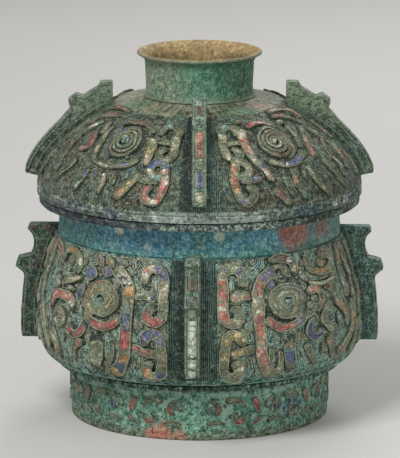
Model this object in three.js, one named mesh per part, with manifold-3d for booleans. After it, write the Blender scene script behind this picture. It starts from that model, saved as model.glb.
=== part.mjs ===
// A lidded bronze food vessel of the gui kind. A round-bellied bowl stands on a ring foot, and a domed lid
// with a ring crown drops into its mouth. Four hooked flanges stand on the bowl and four on the lid, and
// coloured stones are set in the flanges' outer edges and in the scrolls on either side of them.
// Millimetres, +Z up, origin on the ground at the middle of the foot. The bowl's front flange faces -Y.
import * as THREE from "three";
import { mergeVertices } from "three/addons/utils/BufferGeometryUtils.js";
import Module from "manifold-3d";

const wasm = await Module();
wasm.setup();

// Clear space left between two pieces that touch
const seatGap = 0.3;

// Steps round a full turn of each casting, and the most that a curve runs between two points
const roundSteps = 36;
const crownSteps = 32;
const curveStep = 9;
const hollowSteps = 6;
const domeSteps = 8;
const flareSteps = 4;

// Ring foot
const footRadius = 91.5;
const footWall = 4.2;
const footHeight = 36.7;
const footWear = 1;

// Greatest radius, at which the belly and the lid's rim are flush
const bodyRadius = 115;

// Bowl, from the moulding above the foot up to the lip. Insets are from the greatest radius
const mouldingRadius = 101.5;
const mouldingHeight = 5;
const mouldingUndercut = 3;
const bellyFootRadius = 102.6;
const bellyRise = 31;
const bellyPower = 2.4;
const shoulderRise = 58;
const shoulderPower = 1.55;
const neckLineInset = 13.4;
const neckLineStep = 0.7;
const neckInset = 15.4;
const neckRise = 11;
const coveRise = 10.7;
const coveReach = 4.5;
const lipInset = 1.4;
const lipWidth = 17.4;
const lipThickness = 5.8;
const lipRounding = 0.8;
const bowlWall = 3.8;
const bowlFloor = 4;
const bowlFloorRadius = 60;
const bowlFloorDip = 2.5;
const hollowPower = 3;

// Lid
const lidRimHeight = 6.5;
const domeRise = 58.2;
const domePower = 1.92;
const collarRadius = 60;
const collarStep = 0.9;
const collarRise = 4.6;
const lidWall = 3.6;
const lidRimThickness = 4.6;
const spigotDepth = 11.3;
const spigotWall = 3.2;
const spigotClearance = 0.8;
const lidDish = 1.6;

// How far the lid stands turned from the bowl's flanges, in degrees
const lidTurn = 2.3;

// Ring crown on the lid
const crownRadius = 38;
const crownTaper = 0.6;
const crownWall = 2.7;
const crownFlare = 5.6;
const crownFlareHeight = 8;
const crownHeight = 31.6;
const crownFootSpread = 1.8;
const crownFootHeight = 3;
const crownLand = 1.8;

// Flanges, in millimetres along the wall from its top line and out from the wall
const bowlFlangeThickness = 10;
const bowlFlangeTop = 1;
const bowlFlangeBottom = 80.4;
const bowlFlangeEdge = [
  [-3.9, 20], [-0.8, 21], [4, 15.4], [8.5, 12.8], [14.3, 11.5], [20, 12.1],
  [21.8, 20.3], [28.2, 20.6], [33, 14], [36, 12.6], [53, 11.4], [66, 11.8], [bowlFlangeBottom, 13.2],
];
const lidFlangeThickness = 9.4;
const lidFlangeTop = 1.2;
const lidFlangeBottom = 77;
const lidFlangeEdge = [
  [lidFlangeTop, 14.8], [8.6, 18.4], [9.6, 15.6], [18.2, 14.4], [20.4, 18.6], [26, 18.2],
  [27.4, 12.4], [38, 10], [50, 9.3], [62, 9.3], [74, 9.6], [lidFlangeBottom + 0.6, 8.6],
];
const lidFlangeUpright = 26;

// Stones in the flanges' outer edges, from top to bottom, as stretches along the wall
const edgeStoneWidth = 5.8;
const edgeStoneDepth = 2.2;
const edgeStoneProud = 0.4;
const bowlEdgeStones = {
  garnet: [10, 19.2],
  jade_long: [bowlFlangeBottom - 41.4, bowlFlangeBottom - 17.4],
  jade_short: [bowlFlangeBottom - 16.2, bowlFlangeBottom - 8.8],
  jade_end: [bowlFlangeBottom - 7.6, bowlFlangeBottom - 1.8],
};
const lidEdgeStones = {
  garnet: [10.8, 17],
  coral: [28.6, 44],
  lapis: [48.6, 58],
  shell: [lidFlangeBottom - 8.2, lidFlangeBottom - 2],
};

// Scroll inlays on both sides of the front and back flanges. Each is drawn from a point on its bar, given in
// degrees from the flange and millimetres along the wall. From there the bar rises to a curl and falls to
// another, which turn through the angles given, and an arm runs out level
const scrollThickness = 2.4;
const bowlScrollWidth = 4.2;
const bowlScrolls = {
  upper: {
    from: [10.4, 27], rise: 13.5, fall: 12.5, arm: 21,
    topCurl: 7.9, topTurn: 230, lowCurl: 5.8, lowTurn: 225,
  },
  lower: {
    from: [10.3, 65], rise: 8.5, fall: 11.5, arm: 18,
    topCurl: 6.3, topTurn: 205, lowCurl: 6.6, lowTurn: 225,
  },
};
const lidScrollWidth = 3.8;
const lidScrolls = {
  upper: {
    from: [10.8, 28], rise: 7.5, fall: 9, arm: 14,
    topCurl: 6, topTurn: 230, lowCurl: 5.2, lowTurn: 220,
  },
  lower: {
    from: [11, 61], rise: 8.5, fall: 7.5, arm: 21,
    topCurl: 5.8, topTurn: 215, lowCurl: 6.2, lowTurn: 225,
  },
};
const scrollStep = 5;

// Raised forms of the animal masks, on both sides of the front and back flanges. An eye is a low boss, and a
// band follows points given in degrees from the flange and millimetres along the wall
const maskDepth = 1.4;
const maskStep = 16;
const eyeSides = 10;
const eyeRise = 1.2;
const bowlMask = {
  height: 2.7,
  eye: { at: [34.4, 33.4], radius: 16.6 },
  brow: { width: 7.6, points: [[28.6, 12], [23.8, 24], [23.8, 50], [24.2, 66], [29, 83]] },
  crescent: { width: 6.6, points: [[26.4, 43.5], [31.6, 52.6], [38.6, 53.6], [44, 49], [46.2, 41.5]] },
  cheek: { width: 6.8, points: [[60, 31.4], [53, 31], [48.2, 38.5], [48.8, 46]] },
  side: { width: 6.4, points: [[68.4, 4], [72.2, 24], [73, 50], [72.6, 79]] },
};
const lidMask = {
  height: 2.5,
  eye: { at: [36.5, 31.5], radius: 14.8 },
  brow: { width: 6.6, points: [[23.2, 17], [22.6, 28], [25.8, 46], [28.4, 66], [31.8, 79]] },
  crescent: { width: 5, points: [[29.6, 45], [35, 51.4], [42, 50], [49.4, 40], [50.4, 30]] },
  cheek: { width: 6.4, points: [[53, 26], [56.6, 39.5], [60.2, 46.5]] },
  side: { width: 5, points: [[50, 9], [61.5, 11.4], [68, 20], [72, 31]] },
};

// Radii that follow from the sizes
const neckLineRadius = bodyRadius - neckLineInset;
const neckRadius = bodyRadius - neckInset;
const lipRadius = bodyRadius - lipInset;
const mouthRadius = lipRadius - lipWidth;

// Levels above the ground that follow from the sizes
const mouldingLow = footHeight + seatGap;
const mouldingTop = mouldingLow + mouldingHeight;
const bellyLevel = mouldingTop + bellyRise;
const neckLineLevel = bellyLevel + shoulderRise;
const neckLevel = neckLineLevel + neckRise;
const lipUnderLevel = neckLevel + coveRise;
const mouthLevel = lipUnderLevel + lipThickness;
const floorLevel = mouldingLow - bowlFloorDip + bowlFloor;
const lidLow = mouthLevel + seatGap;
const domeLow = lidLow + lidRimHeight;
const domeTop = domeLow + domeRise;
const crownSeatLevel = domeTop + collarRise;
const crownSeatRadius = crownRadius + crownFootSpread;

const point = (r, z) => new THREE.Vector2(r, z);

// Points from one level to another along a curve that gives the radius at each level
function levels(radiusAt, from, to, step = curveStep) {
  const count = Math.max(2, Math.ceil(Math.abs(to - from) / step));
  return Array.from({ length: count + 1 }, (_, i) => {
    const z = from + ((to - from) * i) / count;
    return point(radiusAt(z), z);
  });
}

// Outer radius of the bowl's wall at a level between its moulding and the underside of its lip
function bowlRadiusAt(z) {
  if (z <= bellyLevel) {
    const t = (bellyLevel - z) / bellyRise;
    const swell = Math.pow(Math.max(0, 1 - Math.pow(t, bellyPower)), 1 / bellyPower);
    return bellyFootRadius + (bodyRadius - bellyFootRadius) * swell;
  }
  if (z <= neckLineLevel) {
    const t = (z - bellyLevel) / shoulderRise;
    return neckLineRadius + (bodyRadius - neckLineRadius) * (1 - Math.pow(t, shoulderPower));
  }
  if (z <= neckLevel) {
    const t = (neckLevel - z) / neckRise;
    return neckRadius + (neckLineRadius - neckLineStep - neckRadius) * t * t;
  }
  const t = (z - neckLevel) / coveRise;
  return neckRadius + coveReach * Math.pow(t, 3);
}

// Outer radius of the lid's dome at a level between its rim and its collar
function lidRadiusAt(z) {
  const t = Math.max(0, (z - domeLow) / domeRise);
  return bodyRadius - (bodyRadius - collarRadius) * Math.pow(t, domePower);
}

// A wall as a strip that can be measured along: its point and outward direction at a distance from its start
function wallStrip(radiusAt, start, end, before = 0) {
  const pieces = 400;
  const span = end - start;
  const first = start - (before * span) / Math.abs(span);
  const points = levels(radiusAt, first, end, Math.abs(end - first) / pieces);
  const lengths = [0];
  for (let i = 1; i < points.length; i++) {
    lengths.push(lengths[i - 1] + points[i].distanceTo(points[i - 1]));
  }
  const origin = lengths[points.findIndex((p) => (p.y - start) * Math.sign(span) >= -1e-9)];
  const place = (along) => {
    const wanted = Math.min(Math.max(along + origin, 0), lengths.at(-1) - 1e-6);
    const i = lengths.findIndex((l) => l > wanted) - 1;
    return [i, (wanted - lengths[i]) / (lengths[i + 1] - lengths[i])];
  };
  return {
    length: lengths.at(-1) - origin,
    at(along) {
      const [i, share] = place(along);
      return points[i].clone().lerp(points[i + 1], share);
    },
    outward(along) {
      const [i] = place(along);
      const run = points[i + 1].clone().sub(points[i]).normalize();
      return point(-run.y, run.x);
    },
  };
}

const bowlStrip = wallStrip(bowlRadiusAt, neckLineLevel, mouldingTop, neckRise);
const lidStrip = wallStrip(lidRadiusAt, domeTop, domeLow);

// Turns a profile about the upright axis
function turned(profile, steps) {
  return new THREE.LatheGeometry(profile, steps).rotateX(Math.PI / 2);
}

function footProfile() {
  const inner = footRadius - footWall;
  return [
    point(inner, 0), point(footRadius - footWear, 0), point(footRadius, footWear),
    point(footRadius, footHeight), point(inner, footHeight), point(inner, 0),
  ];
}

function bowlProfile() {
  const hollowRadius = bodyRadius - bowlWall;
  const hollowDepth = bellyLevel - floorLevel;
  const hollowCurve = Array.from({ length: hollowSteps + 1 }, (_, i) => {
    const t = Math.sin((Math.PI / 2) * (i / hollowSteps));
    const reach = Math.pow(1 - Math.pow(t, hollowPower), 1 / hollowPower);
    return point(bowlFloorRadius + (hollowRadius - bowlFloorRadius) * reach, bellyLevel - hollowDepth * t);
  });
  const innerRadiusAt = (z) => Math.min(bowlRadiusAt(z), bodyRadius) - bowlWall;
  return [
    point(0, mouldingLow - bowlFloorDip),
    point(bowlFloorRadius, mouldingLow - bowlFloorDip),
    point(footRadius - footWall - 2 * seatGap, mouldingLow),
    point(mouldingRadius - mouldingUndercut, mouldingLow),
    point(mouldingRadius, mouldingLow + mouldingUndercut),
    point(mouldingRadius, mouldingTop),
    ...levels(bowlRadiusAt, mouldingTop, bellyLevel, (2 * curveStep) / 3),
    ...levels(bowlRadiusAt, bellyLevel, neckLineLevel).slice(1),
    ...levels(bowlRadiusAt, neckLineLevel + neckLineStep, neckLevel, neckRise / 2),
    ...levels(bowlRadiusAt, neckLevel, lipUnderLevel - lipRounding, coveRise / 2).slice(1),
    point(lipRadius - lipRounding, lipUnderLevel),
    point(lipRadius, lipUnderLevel + lipRounding),
    point(lipRadius, mouthLevel),
    point(mouthRadius, mouthLevel),
    point(mouthRadius, neckLevel),
    ...levels(innerRadiusAt, neckLineLevel, bellyLevel, 2 * curveStep).slice(0, -1),
    ...hollowCurve,
    point(0, floorLevel),
  ];
}

function lidProfile() {
  const spigotRadius = mouthRadius - spigotClearance;
  const spigotInner = spigotRadius - spigotWall;
  const spigotLow = lidLow - spigotDepth;
  const along = (steps) => Array.from({ length: steps + 1 }, (_, i) => lidStrip.length * (1 - i / steps));
  const outside = along(domeSteps).map((s) => lidStrip.at(s));
  const inside = along(hollowSteps)
    .map((s) => lidStrip.at(s).addScaledVector(lidStrip.outward(s), -lidWall))
    .filter((p) => p.y > lidLow + lidRimThickness + lidWall)
    .reverse();
  return [
    point(0, crownSeatLevel - lidDish - lidWall),
    ...inside,
    point(bodyRadius - 2 * lidWall, lidLow + lidRimThickness),
    point(spigotInner, lidLow + lidRimThickness),
    point(spigotInner, spigotLow),
    point(spigotRadius - lipRounding, spigotLow),
    point(spigotRadius, spigotLow + lipRounding),
    point(spigotRadius, lidLow),
    point(bodyRadius - lipRounding, lidLow),
    point(bodyRadius, lidLow + lipRounding),
    ...outside,
    point(collarRadius, domeTop + collarStep),
    point(crownSeatRadius + lipRounding, crownSeatLevel),
    point(crownSeatRadius - crownWall - crownFootSpread, crownSeatLevel),
    point(crownSeatRadius - crownWall - crownFootSpread - lidDish, crownSeatLevel - lidDish),
    point(0, crownSeatLevel - lidDish),
  ];
}

function crownProfile() {
  const low = crownSeatLevel + seatGap;
  const top = low + crownHeight;
  const flareLow = top - crownFlareHeight;
  const neck = crownRadius + crownTaper;
  const flare = (radius, reach) =>
    Array.from({ length: flareSteps }, (_, i) => {
      const t = i / flareSteps;
      return point(radius + reach * t * t, flareLow + crownFlareHeight * t);
    });
  const rimRadius = neck + crownFlare;
  return [
    point(crownSeatRadius - crownWall - crownFootSpread, low),
    point(crownSeatRadius, low),
    point(crownRadius, low + crownFootHeight),
    ...flare(neck, crownFlare),
    point(rimRadius, top - lipRounding),
    point(rimRadius - lipRounding / 2, top),
    point(rimRadius - lipRounding / 2 - crownLand, top),
    ...flare(neck - crownWall, crownFlare - crownLand / 2).reverse(),
    point(crownSeatRadius - crownWall - crownFootSpread, low),
  ];
}

// A closed three.js geometry as a solid for booleans, and back
function solidOf(geometry) {
  const bare = geometry.clone();
  bare.deleteAttribute("normal");
  bare.deleteAttribute("uv");
  const merged = mergeVertices(bare, 1e-4);
  const made = new wasm.Mesh({
    numProp: 3,
    vertProperties: merged.attributes.position.array,
    triVerts: new Uint32Array(merged.index.array),
  });
  return new wasm.Manifold(made);
}

function geometryOf(solid) {
  const { vertProperties, triVerts } = solid.getMesh();
  const geometry = new THREE.BufferGeometry();
  geometry.setAttribute("position", new THREE.BufferAttribute(vertProperties, 3));
  geometry.setIndex(new THREE.BufferAttribute(triVerts, 1));
  const flat = geometry.toNonIndexed();
  flat.computeVertexNormals();
  return flat;
}

// A plate of one thickness from an outline in the upright plane through the axis, standing out along +X
function plate(outline, thickness) {
  const made = new THREE.ExtrudeGeometry(new THREE.Shape(outline), {
    depth: thickness,
    bevelEnabled: false,
    curveSegments: 1,
  });
  return made.translate(0, 0, -thickness / 2).rotateX(Math.PI / 2);
}

// How a flange's outline lies on its wall. The bowl's stands straight out from the axis, and the lid's leans
// from upright beside the collar to square with the dome
function bowlFlangePoint(along, out) {
  const base = bowlStrip.at(along);
  return point(base.x + out, base.y);
}

function lidFlangePoint(along, out) {
  const lean = THREE.MathUtils.smoothstep(along, 0, lidFlangeUpright);
  const lift = point(0, 1).lerp(lidStrip.outward(along), lean).normalize();
  return lidStrip.at(along).addScaledVector(lift, out);
}

// Height of a flange's outer edge at a distance along the wall
function edgeHeight(edge, along) {
  const i = Math.max(1, edge.findIndex(([s]) => s >= along));
  const [[s0, h0], [s1, h1]] = [edge[i - 1], edge[i]];
  return h0 + ((h1 - h0) * (along - s0)) / (s1 - s0);
}

// A stretch of a flange's outer edge as a closed outline, sunk by one amount and standing proud by another
function edgeStretch(place, edge, [from, to], grow, sunk, proud) {
  const count = Math.max(1, Math.round((to - from) / curveStep));
  const along = Array.from({ length: count + 1 }, (_, i) => {
    return from - grow + ((to - from + 2 * grow) * i) / count;
  });
  const outer = along.map((s) => place(s, edgeHeight(edge, s) + proud));
  const inner = along.map((s) => place(s, edgeHeight(edge, s) - sunk)).reverse();
  return [...outer, ...inner];
}

function flangeOutline(place, edge, top, bottom) {
  const count = Math.ceil((bottom - top) / curveStep);
  const root = Array.from({ length: count + 1 }, (_, i) => {
    return place(bottom - ((bottom - top) * i) / count, seatGap);
  });
  return [...edge.map(([s, h]) => place(s, h)), ...root];
}

// The flange with a cell cut for each stone, and the stones, all standing out along +X
function flangeSet(place, edge, top, bottom, thickness, stones) {
  let body = solidOf(plate(flangeOutline(place, edge, top, bottom), thickness));
  const pieces = {};
  for (const [name, stretch] of Object.entries(stones)) {
    const cell = edgeStretch(place, edge, stretch, seatGap, edgeStoneDepth + seatGap, edgeStoneDepth);
    body = body.subtract(solidOf(plate(cell, edgeStoneWidth + 2 * seatGap)));
    const stone = edgeStretch(place, edge, stretch, 0, edgeStoneDepth, edgeStoneProud);
    pieces[name] = plate(stone, edgeStoneWidth);
  }
  return { body: geometryOf(body), pieces };
}

// A point at a height on a wall, from an angle beside the flange and a distance along the wall
function wallSpot(strip, angle, along, height, side) {
  const out = strip.at(along).addScaledVector(strip.outward(along), height);
  return [out.x * Math.cos(side * angle), out.x * Math.sin(side * angle), out.y];
}

// Points and faces that point outwards on the left of a flange, as a closed geometry on either side of it
function wallGeometry(positions, faces, side) {
  const index = side > 0 ? faces.flatMap(([a, b, c]) => [b, a, c]) : faces.flat();
  const geometry = new THREE.BufferGeometry();
  geometry.setAttribute("position", new THREE.Float32BufferAttribute(positions.flat(), 3));
  geometry.setIndex(index);
  return geometry;
}

// Faces of a tube with four points to each ring, closed at both ends
function tubeFaces(rings) {
  const faces = [];
  const last = (rings - 1) * 4;
  for (let i = 0; i < last; i += 4) {
    for (let k = 0; k < 4; k++) {
      const [a, b] = [i + k, i + ((k + 1) % 4)];
      faces.push([a, b, b + 4], [a, b + 4, a + 4]);
    }
  }
  faces.push([0, 2, 1], [0, 3, 2], [last, last + 1, last + 2], [last, last + 2, last + 3]);
  return faces;
}

// A band of rectangular section that follows a wall. The path is in millimetres right and up from a wall
// point given in degrees from the flange and millimetres along the wall
function bandOnWall(strip, [degrees, along], path, width, low, high, side) {
  const positions = [];
  const put = (x, y, h) => {
    const angle = THREE.MathUtils.degToRad(degrees) + x / strip.at(along).x;
    positions.push(wallSpot(strip, angle, along - y, h, side));
  };
  path.forEach((p, i) => {
    const ahead = path[Math.min(i + 1, path.length - 1)];
    const behind = path[Math.max(i - 1, 0)];
    const run = ahead.clone().sub(behind).normalize();
    const across = point(-run.y, run.x).multiplyScalar(width / 2);
    put(p.x + across.x, p.y + across.y, low);
    put(p.x - across.x, p.y - across.y, low);
    put(p.x - across.x, p.y - across.y, high);
    put(p.x + across.x, p.y + across.y, high);
  });
  return wallGeometry(positions, tubeFaces(path.length), side);
}

// A raised band of a mask, through its points
function maskBand(strip, { width, points }, height, side) {
  const middle = points.map(([degrees, along]) => {
    return point(THREE.MathUtils.degToRad(degrees) * strip.at(along).x, -along);
  });
  const curve = new THREE.SplineCurve(middle);
  const path = curve.getSpacedPoints(Math.round(curve.getLength() / maskStep));
  const across = path.map((p, i) => {
    const run = path[Math.min(i + 1, path.length - 1)].clone().sub(path[Math.max(i - 1, 0)]).normalize();
    return point(-run.y, run.x).multiplyScalar(width / 2);
  });
  const positions = [];
  const put = (p, h) => positions.push(wallSpot(strip, p.x / strip.at(-p.y).x, -p.y, h, side));
  path.forEach((p, i) => {
    put(p.clone().add(across[i]), -maskDepth);
    put(p.clone().sub(across[i]), -maskDepth);
    put(p.clone().sub(across[i]), height);
    put(p.clone().add(across[i]), height);
  });
  return wallGeometry(positions, tubeFaces(path.length), side);
}

// A mask's eye: a low boss that rises to its middle
function maskEye(strip, { at, radius }, height, side) {
  const [degrees, along] = at;
  const around = Array.from({ length: eyeSides }, (_, i) => (2 * Math.PI * i) / eyeSides);
  const ring = (reach, h) => around.map((turn) => {
    const angle = THREE.MathUtils.degToRad(degrees) + (reach * Math.cos(turn)) / strip.at(along).x;
    return wallSpot(strip, angle, along + reach * Math.sin(turn), h, side);
  });
  const middle = (h) => wallSpot(strip, THREE.MathUtils.degToRad(degrees), along, h, side);
  const positions = [
    ...ring(radius, -maskDepth), ...ring(radius, height), middle(-maskDepth), middle(height + eyeRise),
  ];
  const faces = around.flatMap((_, i) => {
    const next = (i + 1) % eyeSides;
    const [low, lowNext, high, highNext] = [i, next, i + eyeSides, next + eyeSides];
    return [
      [low, lowNext, highNext], [low, highNext, high],
      [2 * eyeSides, lowNext, low], [2 * eyeSides + 1, high, highNext],
    ];
  });
  return wallGeometry(positions, faces, side);
}

// A casting with the masks' raised forms made one with its wall
function withMasks(casting, strip, mask) {
  const { height, eye, ...bands } = mask;
  let body = solidOf(casting);
  for (const facing of ["front", "back"]) {
    for (const side of [1, -1]) {
      const forms = [maskEye(strip, eye, height, side)];
      forms.push(...Object.values(bands).map((band) => maskBand(strip, band, height, side)));
      for (const form of forms) {
        form.rotateZ(THREE.MathUtils.degToRad(facings[facing]));
        body = body.add(solidOf(form));
      }
    }
  }
  return geometryOf(body);
}

// A scroll's middle line: a curl over the top, the straight bar and a curl under the foot, as one path
function scrollPath({ rise, fall, topCurl, topTurn, lowCurl, lowTurn }) {
  const turn = THREE.MathUtils.degToRad;
  const path = new THREE.Path();
  path.absarc(topCurl, rise, topCurl, turn(180 - topTurn), turn(180), false);
  path.lineTo(0, -fall);
  path.absarc(lowCurl, -fall, lowCurl, turn(180), turn(180 + lowTurn), false);
  return path.getSpacedPoints(Math.round(path.getLength() / scrollStep));
}

function scrollInlay(strip, scroll, width, side) {
  const high = seatGap + scrollThickness;
  const main = bandOnWall(strip, scroll.from, scrollPath(scroll), width, seatGap, high, side);
  const arm = new THREE.LineCurve(point(width / 4, 0), point(scroll.arm, 0))
    .getSpacedPoints(Math.round(scroll.arm / scrollStep));
  const branch = bandOnWall(strip, scroll.from, arm, width, seatGap, high, side);
  return geometryOf(solidOf(main).add(solidOf(branch)));
}

function material(color, roughness, metalness) {
  return new THREE.MeshStandardMaterial({ color, roughness, metalness });
}

const finishes = {
  bronze: material(0x4f7263, 0.75, 0.35),
  flange: material(0x3f6f52, 0.75, 0.35),
  garnet: material(0x7c2b26, 0.5, 0),
  coral: material(0xb4574a, 0.55, 0),
  lapis: material(0x2d3a78, 0.5, 0),
  shell: material(0xcbbf98, 0.5, 0),
  jade: material(0xc4cdb4, 0.45, 0),
  inlay: material(0xa8885a, 0.6, 0),
};

function named(name, geometry, finish) {
  const mesh = new THREE.Mesh(geometry, finish);
  mesh.name = name;
  return mesh;
}

const facings = { right: 0, back: 90, left: 180, front: 270 };

// Four flanges and their stones round one casting, each with the scroll pair that stands on either side
function dress(group, owner, set, strip, scrolls, width) {
  Object.entries(facings).forEach(([facing, degrees]) => {
    const turn = THREE.MathUtils.degToRad(degrees);
    const quarter = new THREE.Group();
    quarter.rotation.z = turn;
    quarter.add(named(`${owner}_flange_${facing}`, set.body, finishes.flange));
    for (const [stone, geometry] of Object.entries(set.pieces)) {
      const finish = finishes[stone.split("_")[0]];
      quarter.add(named(`${owner}_flange_${facing}_${stone}`, geometry, finish));
    }
    group.add(quarter);
  });
  for (const facing of ["front", "back"]) {
    const quarter = new THREE.Group();
    quarter.rotation.z = THREE.MathUtils.degToRad(facings[facing]);
    for (const [hand, side] of [["right", 1], ["left", -1]]) {
      for (const [level, scroll] of Object.entries(scrolls)) {
        const inlay = scrollInlay(strip, scroll, width, side);
        quarter.add(named(`${owner}_scroll_${facing}_${hand}_${level}`, inlay, finishes.inlay));
      }
    }
    group.add(quarter);
  }
}

const bowl = new THREE.Group();
bowl.add(named("foot_ring", turned(footProfile(), roundSteps), finishes.bronze));
const bowlCasting = withMasks(turned(bowlProfile(), roundSteps), bowlStrip, bowlMask);
bowl.add(named("bowl", bowlCasting, finishes.bronze));
dress(
  bowl, "bowl",
  flangeSet(bowlFlangePoint, bowlFlangeEdge, bowlFlangeTop, bowlFlangeBottom, bowlFlangeThickness,
    bowlEdgeStones),
  bowlStrip, bowlScrolls, bowlScrollWidth,
);

const lid = new THREE.Group();
const lidCasting = withMasks(turned(lidProfile(), roundSteps), lidStrip, lidMask);
lid.add(named("lid", lidCasting, finishes.bronze));
lid.add(named("lid_crown", turned(crownProfile(), crownSteps), finishes.bronze));
dress(
  lid, "lid",
  flangeSet(lidFlangePoint, lidFlangeEdge, lidFlangeTop, lidFlangeBottom, lidFlangeThickness, lidEdgeStones),
  lidStrip, lidScrolls, lidScrollWidth,
);
lid.rotation.z = THREE.MathUtils.degToRad(lidTurn);

const vessel = new THREE.Group();
vessel.add(bowl, lid);

export default vessel;
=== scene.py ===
import math
import random

import bmesh
import bpy
import numpy as np
from mathutils import Matrix, Vector, noise


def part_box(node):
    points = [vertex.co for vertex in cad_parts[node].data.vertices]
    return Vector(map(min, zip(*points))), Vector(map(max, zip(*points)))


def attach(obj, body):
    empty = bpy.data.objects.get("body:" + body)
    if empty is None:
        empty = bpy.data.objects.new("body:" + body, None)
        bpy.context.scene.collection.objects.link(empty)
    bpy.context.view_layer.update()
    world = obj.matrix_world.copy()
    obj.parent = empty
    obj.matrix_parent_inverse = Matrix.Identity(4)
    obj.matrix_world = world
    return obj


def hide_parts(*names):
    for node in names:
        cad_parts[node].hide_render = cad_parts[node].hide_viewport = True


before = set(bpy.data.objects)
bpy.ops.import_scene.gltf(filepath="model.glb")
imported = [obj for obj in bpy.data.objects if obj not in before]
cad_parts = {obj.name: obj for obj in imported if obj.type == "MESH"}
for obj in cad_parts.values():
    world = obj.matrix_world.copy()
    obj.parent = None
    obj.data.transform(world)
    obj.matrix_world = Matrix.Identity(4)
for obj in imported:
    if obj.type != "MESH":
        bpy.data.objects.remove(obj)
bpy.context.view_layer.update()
bpy.ops.object.select_all(action="DESELECT")

MM = 0.001
QUARTER_TURN = math.pi / 2

# Studio
FLOOR_SIZE = 14
LAMP_AIM = Vector((0, 0, 0.13))
ROOM_LIGHT = 0.34
ROOM_SEEN = 0.60
SENSOR = 36

# Camera
AZIMUTH = math.radians(2.3)
ELEVATION = math.radians(12.2)
CAMERA_DISTANCE = 3.191
AIM_ASIDE = 0.0004
AIM = Vector((AIM_ASIDE * math.cos(AZIMUTH), AIM_ASIDE * math.sin(AZIMUTH), 0.131))
LENS = 353.7

# Levels and radii of the castings in millimetres, from the frame where a node's box gives them
bowl_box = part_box("bowl")
crown_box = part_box("lid_crown")
foot_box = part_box("foot_ring")
BODY_RADIUS = bowl_box[1].x / MM
MOUTH_LEVEL = bowl_box[1].z / MM
GAP = 0.3
LID_LOW = MOUTH_LEVEL + GAP
CROWN_LOW = crown_box[0].z / MM
CROWN_TOP = crown_box[1].z / MM
CROWN_RIM = crown_box[1].x / MM
FOOT_RADIUS = foot_box[1].x / MM
FOOT_TOP = foot_box[1].z / MM

# Bowl
MOULDING_LEVEL = 42
MOULDING_RADIUS = 101.5
BELLY_FOOT_RADIUS = 102.6
BELLY_LEVEL = 73
BELLY_POWER = 2.4
NECK_LINE_LEVEL = 131
NECK_LINE_RADIUS = BODY_RADIUS - 13.4
NECK_LEVEL = 142
NECK_RADIUS = BODY_RADIUS - 15.4
SHOULDER_POWER = 1.55
LIP_RADIUS = BODY_RADIUS - 1.4
LIP_THICKNESS = 5.8
COVE_REACH = 4.5
MOUTH_RADIUS = LIP_RADIUS - 17.4
BOWL_WALL = 3.8
FLOOR_LEVEL = 38.5
FLOOR_RADIUS = 60
FLOOR_SINK = 2.5
BASE_RADIUS = 92
LIP_LOW = MOUTH_LEVEL - LIP_THICKNESS

# Lid
DOME_LOW = LID_LOW + 6.5
DOME_RISE = 58.2
DOME_TOP = DOME_LOW + DOME_RISE
DOME_POWER = 1.92
COLLAR_RADIUS = 60
SEAT_LEVEL = CROWN_LOW - GAP
SEAT_RADIUS = 39.8
LID_WALL = 3.6
LID_RIM = 4.6
SPIGOT_DEPTH = 11.3
SPIGOT_PLAY = 0.8
SPIGOT_RADIUS = MOUTH_RADIUS - SPIGOT_PLAY
SPIGOT_WALL = 3.2
LID_SEAT_RADIUS = 106
LID_TURN = 2.3

# Crown and foot
CROWN_RADIUS = 38
CROWN_WALL = 2.7
CROWN_FLARE_HEIGHT = 8
CROWN_LAND = SEAT_RADIUS - CROWN_WALL - 1.8
CROWN_LAND_STEP = 1.6
FOOT_WALL = 4.2

# Castings: how many steps they are turned in, and the wear of their skin
CASTING_STEPS = 480
FOOT_STEPS = 256
CROWN_STEPS = 160
WEAR_SIZE = 14 * MM
WEAR_DEPTH = 0.55 * MM

# Flanges: how far each outer edge stands off the wall, at millimetres down the wall
BOWL_FLANGE = 10
BOWL_EDGE = [(-3.9, 20), (-0.8, 21), (4, 15.4), (8.5, 12.8), (14.3, 11.5), (20, 12.1), (21.8, 20.3),
             (28.2, 20.6),
             (33, 14), (36, 12.6), (53, 11.4), (66, 11.8), (80.4, 13.2)]
BOWL_STONES = {
    "garnet": [("garnet_edge", 9.8, 19.6), ("violet_edge", 22.2, 27.9)],
    "jade_long": [("sea_edge", 30.8, 38.2), ("jade", 39, 65.2)],
    "jade_short": [("jade", 66.4, 73)],
    "jade_end": [("jade", 74.2, 80)],
}
LID_FLANGE = 9.4
LID_EDGE = [(1.2, 14.8), (8.6, 18.4), (9.6, 15.6), (18.2, 14.4), (20.4, 18.6), (26, 18.2), (27.4, 12.4),
            (38, 10),
            (50, 9.3), (62, 9.3), (74, 9.6), (77.6, 8.6)]
LID_STONES = {
    "garnet": [("garnet_edge", 10.8, 17.4)],
    "coral": [("coral_edge", 27.9, 47.6)],
    "lapis": [("moss_edge", 49.2, 55.2), ("lapis_edge", 56.2, 67.6)],
    "shell": [("shell", 69.4, 75.6)],
}
LID_FLANGE_UPRIGHT = 26
FLANGE_ROOT = -0.6
FLANGE_STEP = 2.2
FLANGE_WEAR = 0.35
FLANGE_BEVEL = 0.45
STONE_WIDTH = 6.7
STONE_PROUD = 0.4
STONE_CELL_DEPTH = 1.0

# Relief: how far its root lies in the wall, borders, line spacings, heights, and each mask's share of height
ROOT = -0.9
BORDER = 0.7
FINE_BORDER = 0.6
GROUND_PITCH = 1.45
EYE_PITCH = 3.0
LEG_STEPS = 8
EYE_HEIGHT = 2.1
EYE_RISE = 1.3
ROUND_RIM = 1.4
ROUND_TOP = 1.8
BORDER_OF_ROUND = 0.8
BOWL_RISE = 0.82
LID_RISE = 0.72
UNEVEN_SEED = 1

# Patina: how soft a patch's edge is, as a share of its radius
SOFT_EDGE = 0.35

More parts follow.
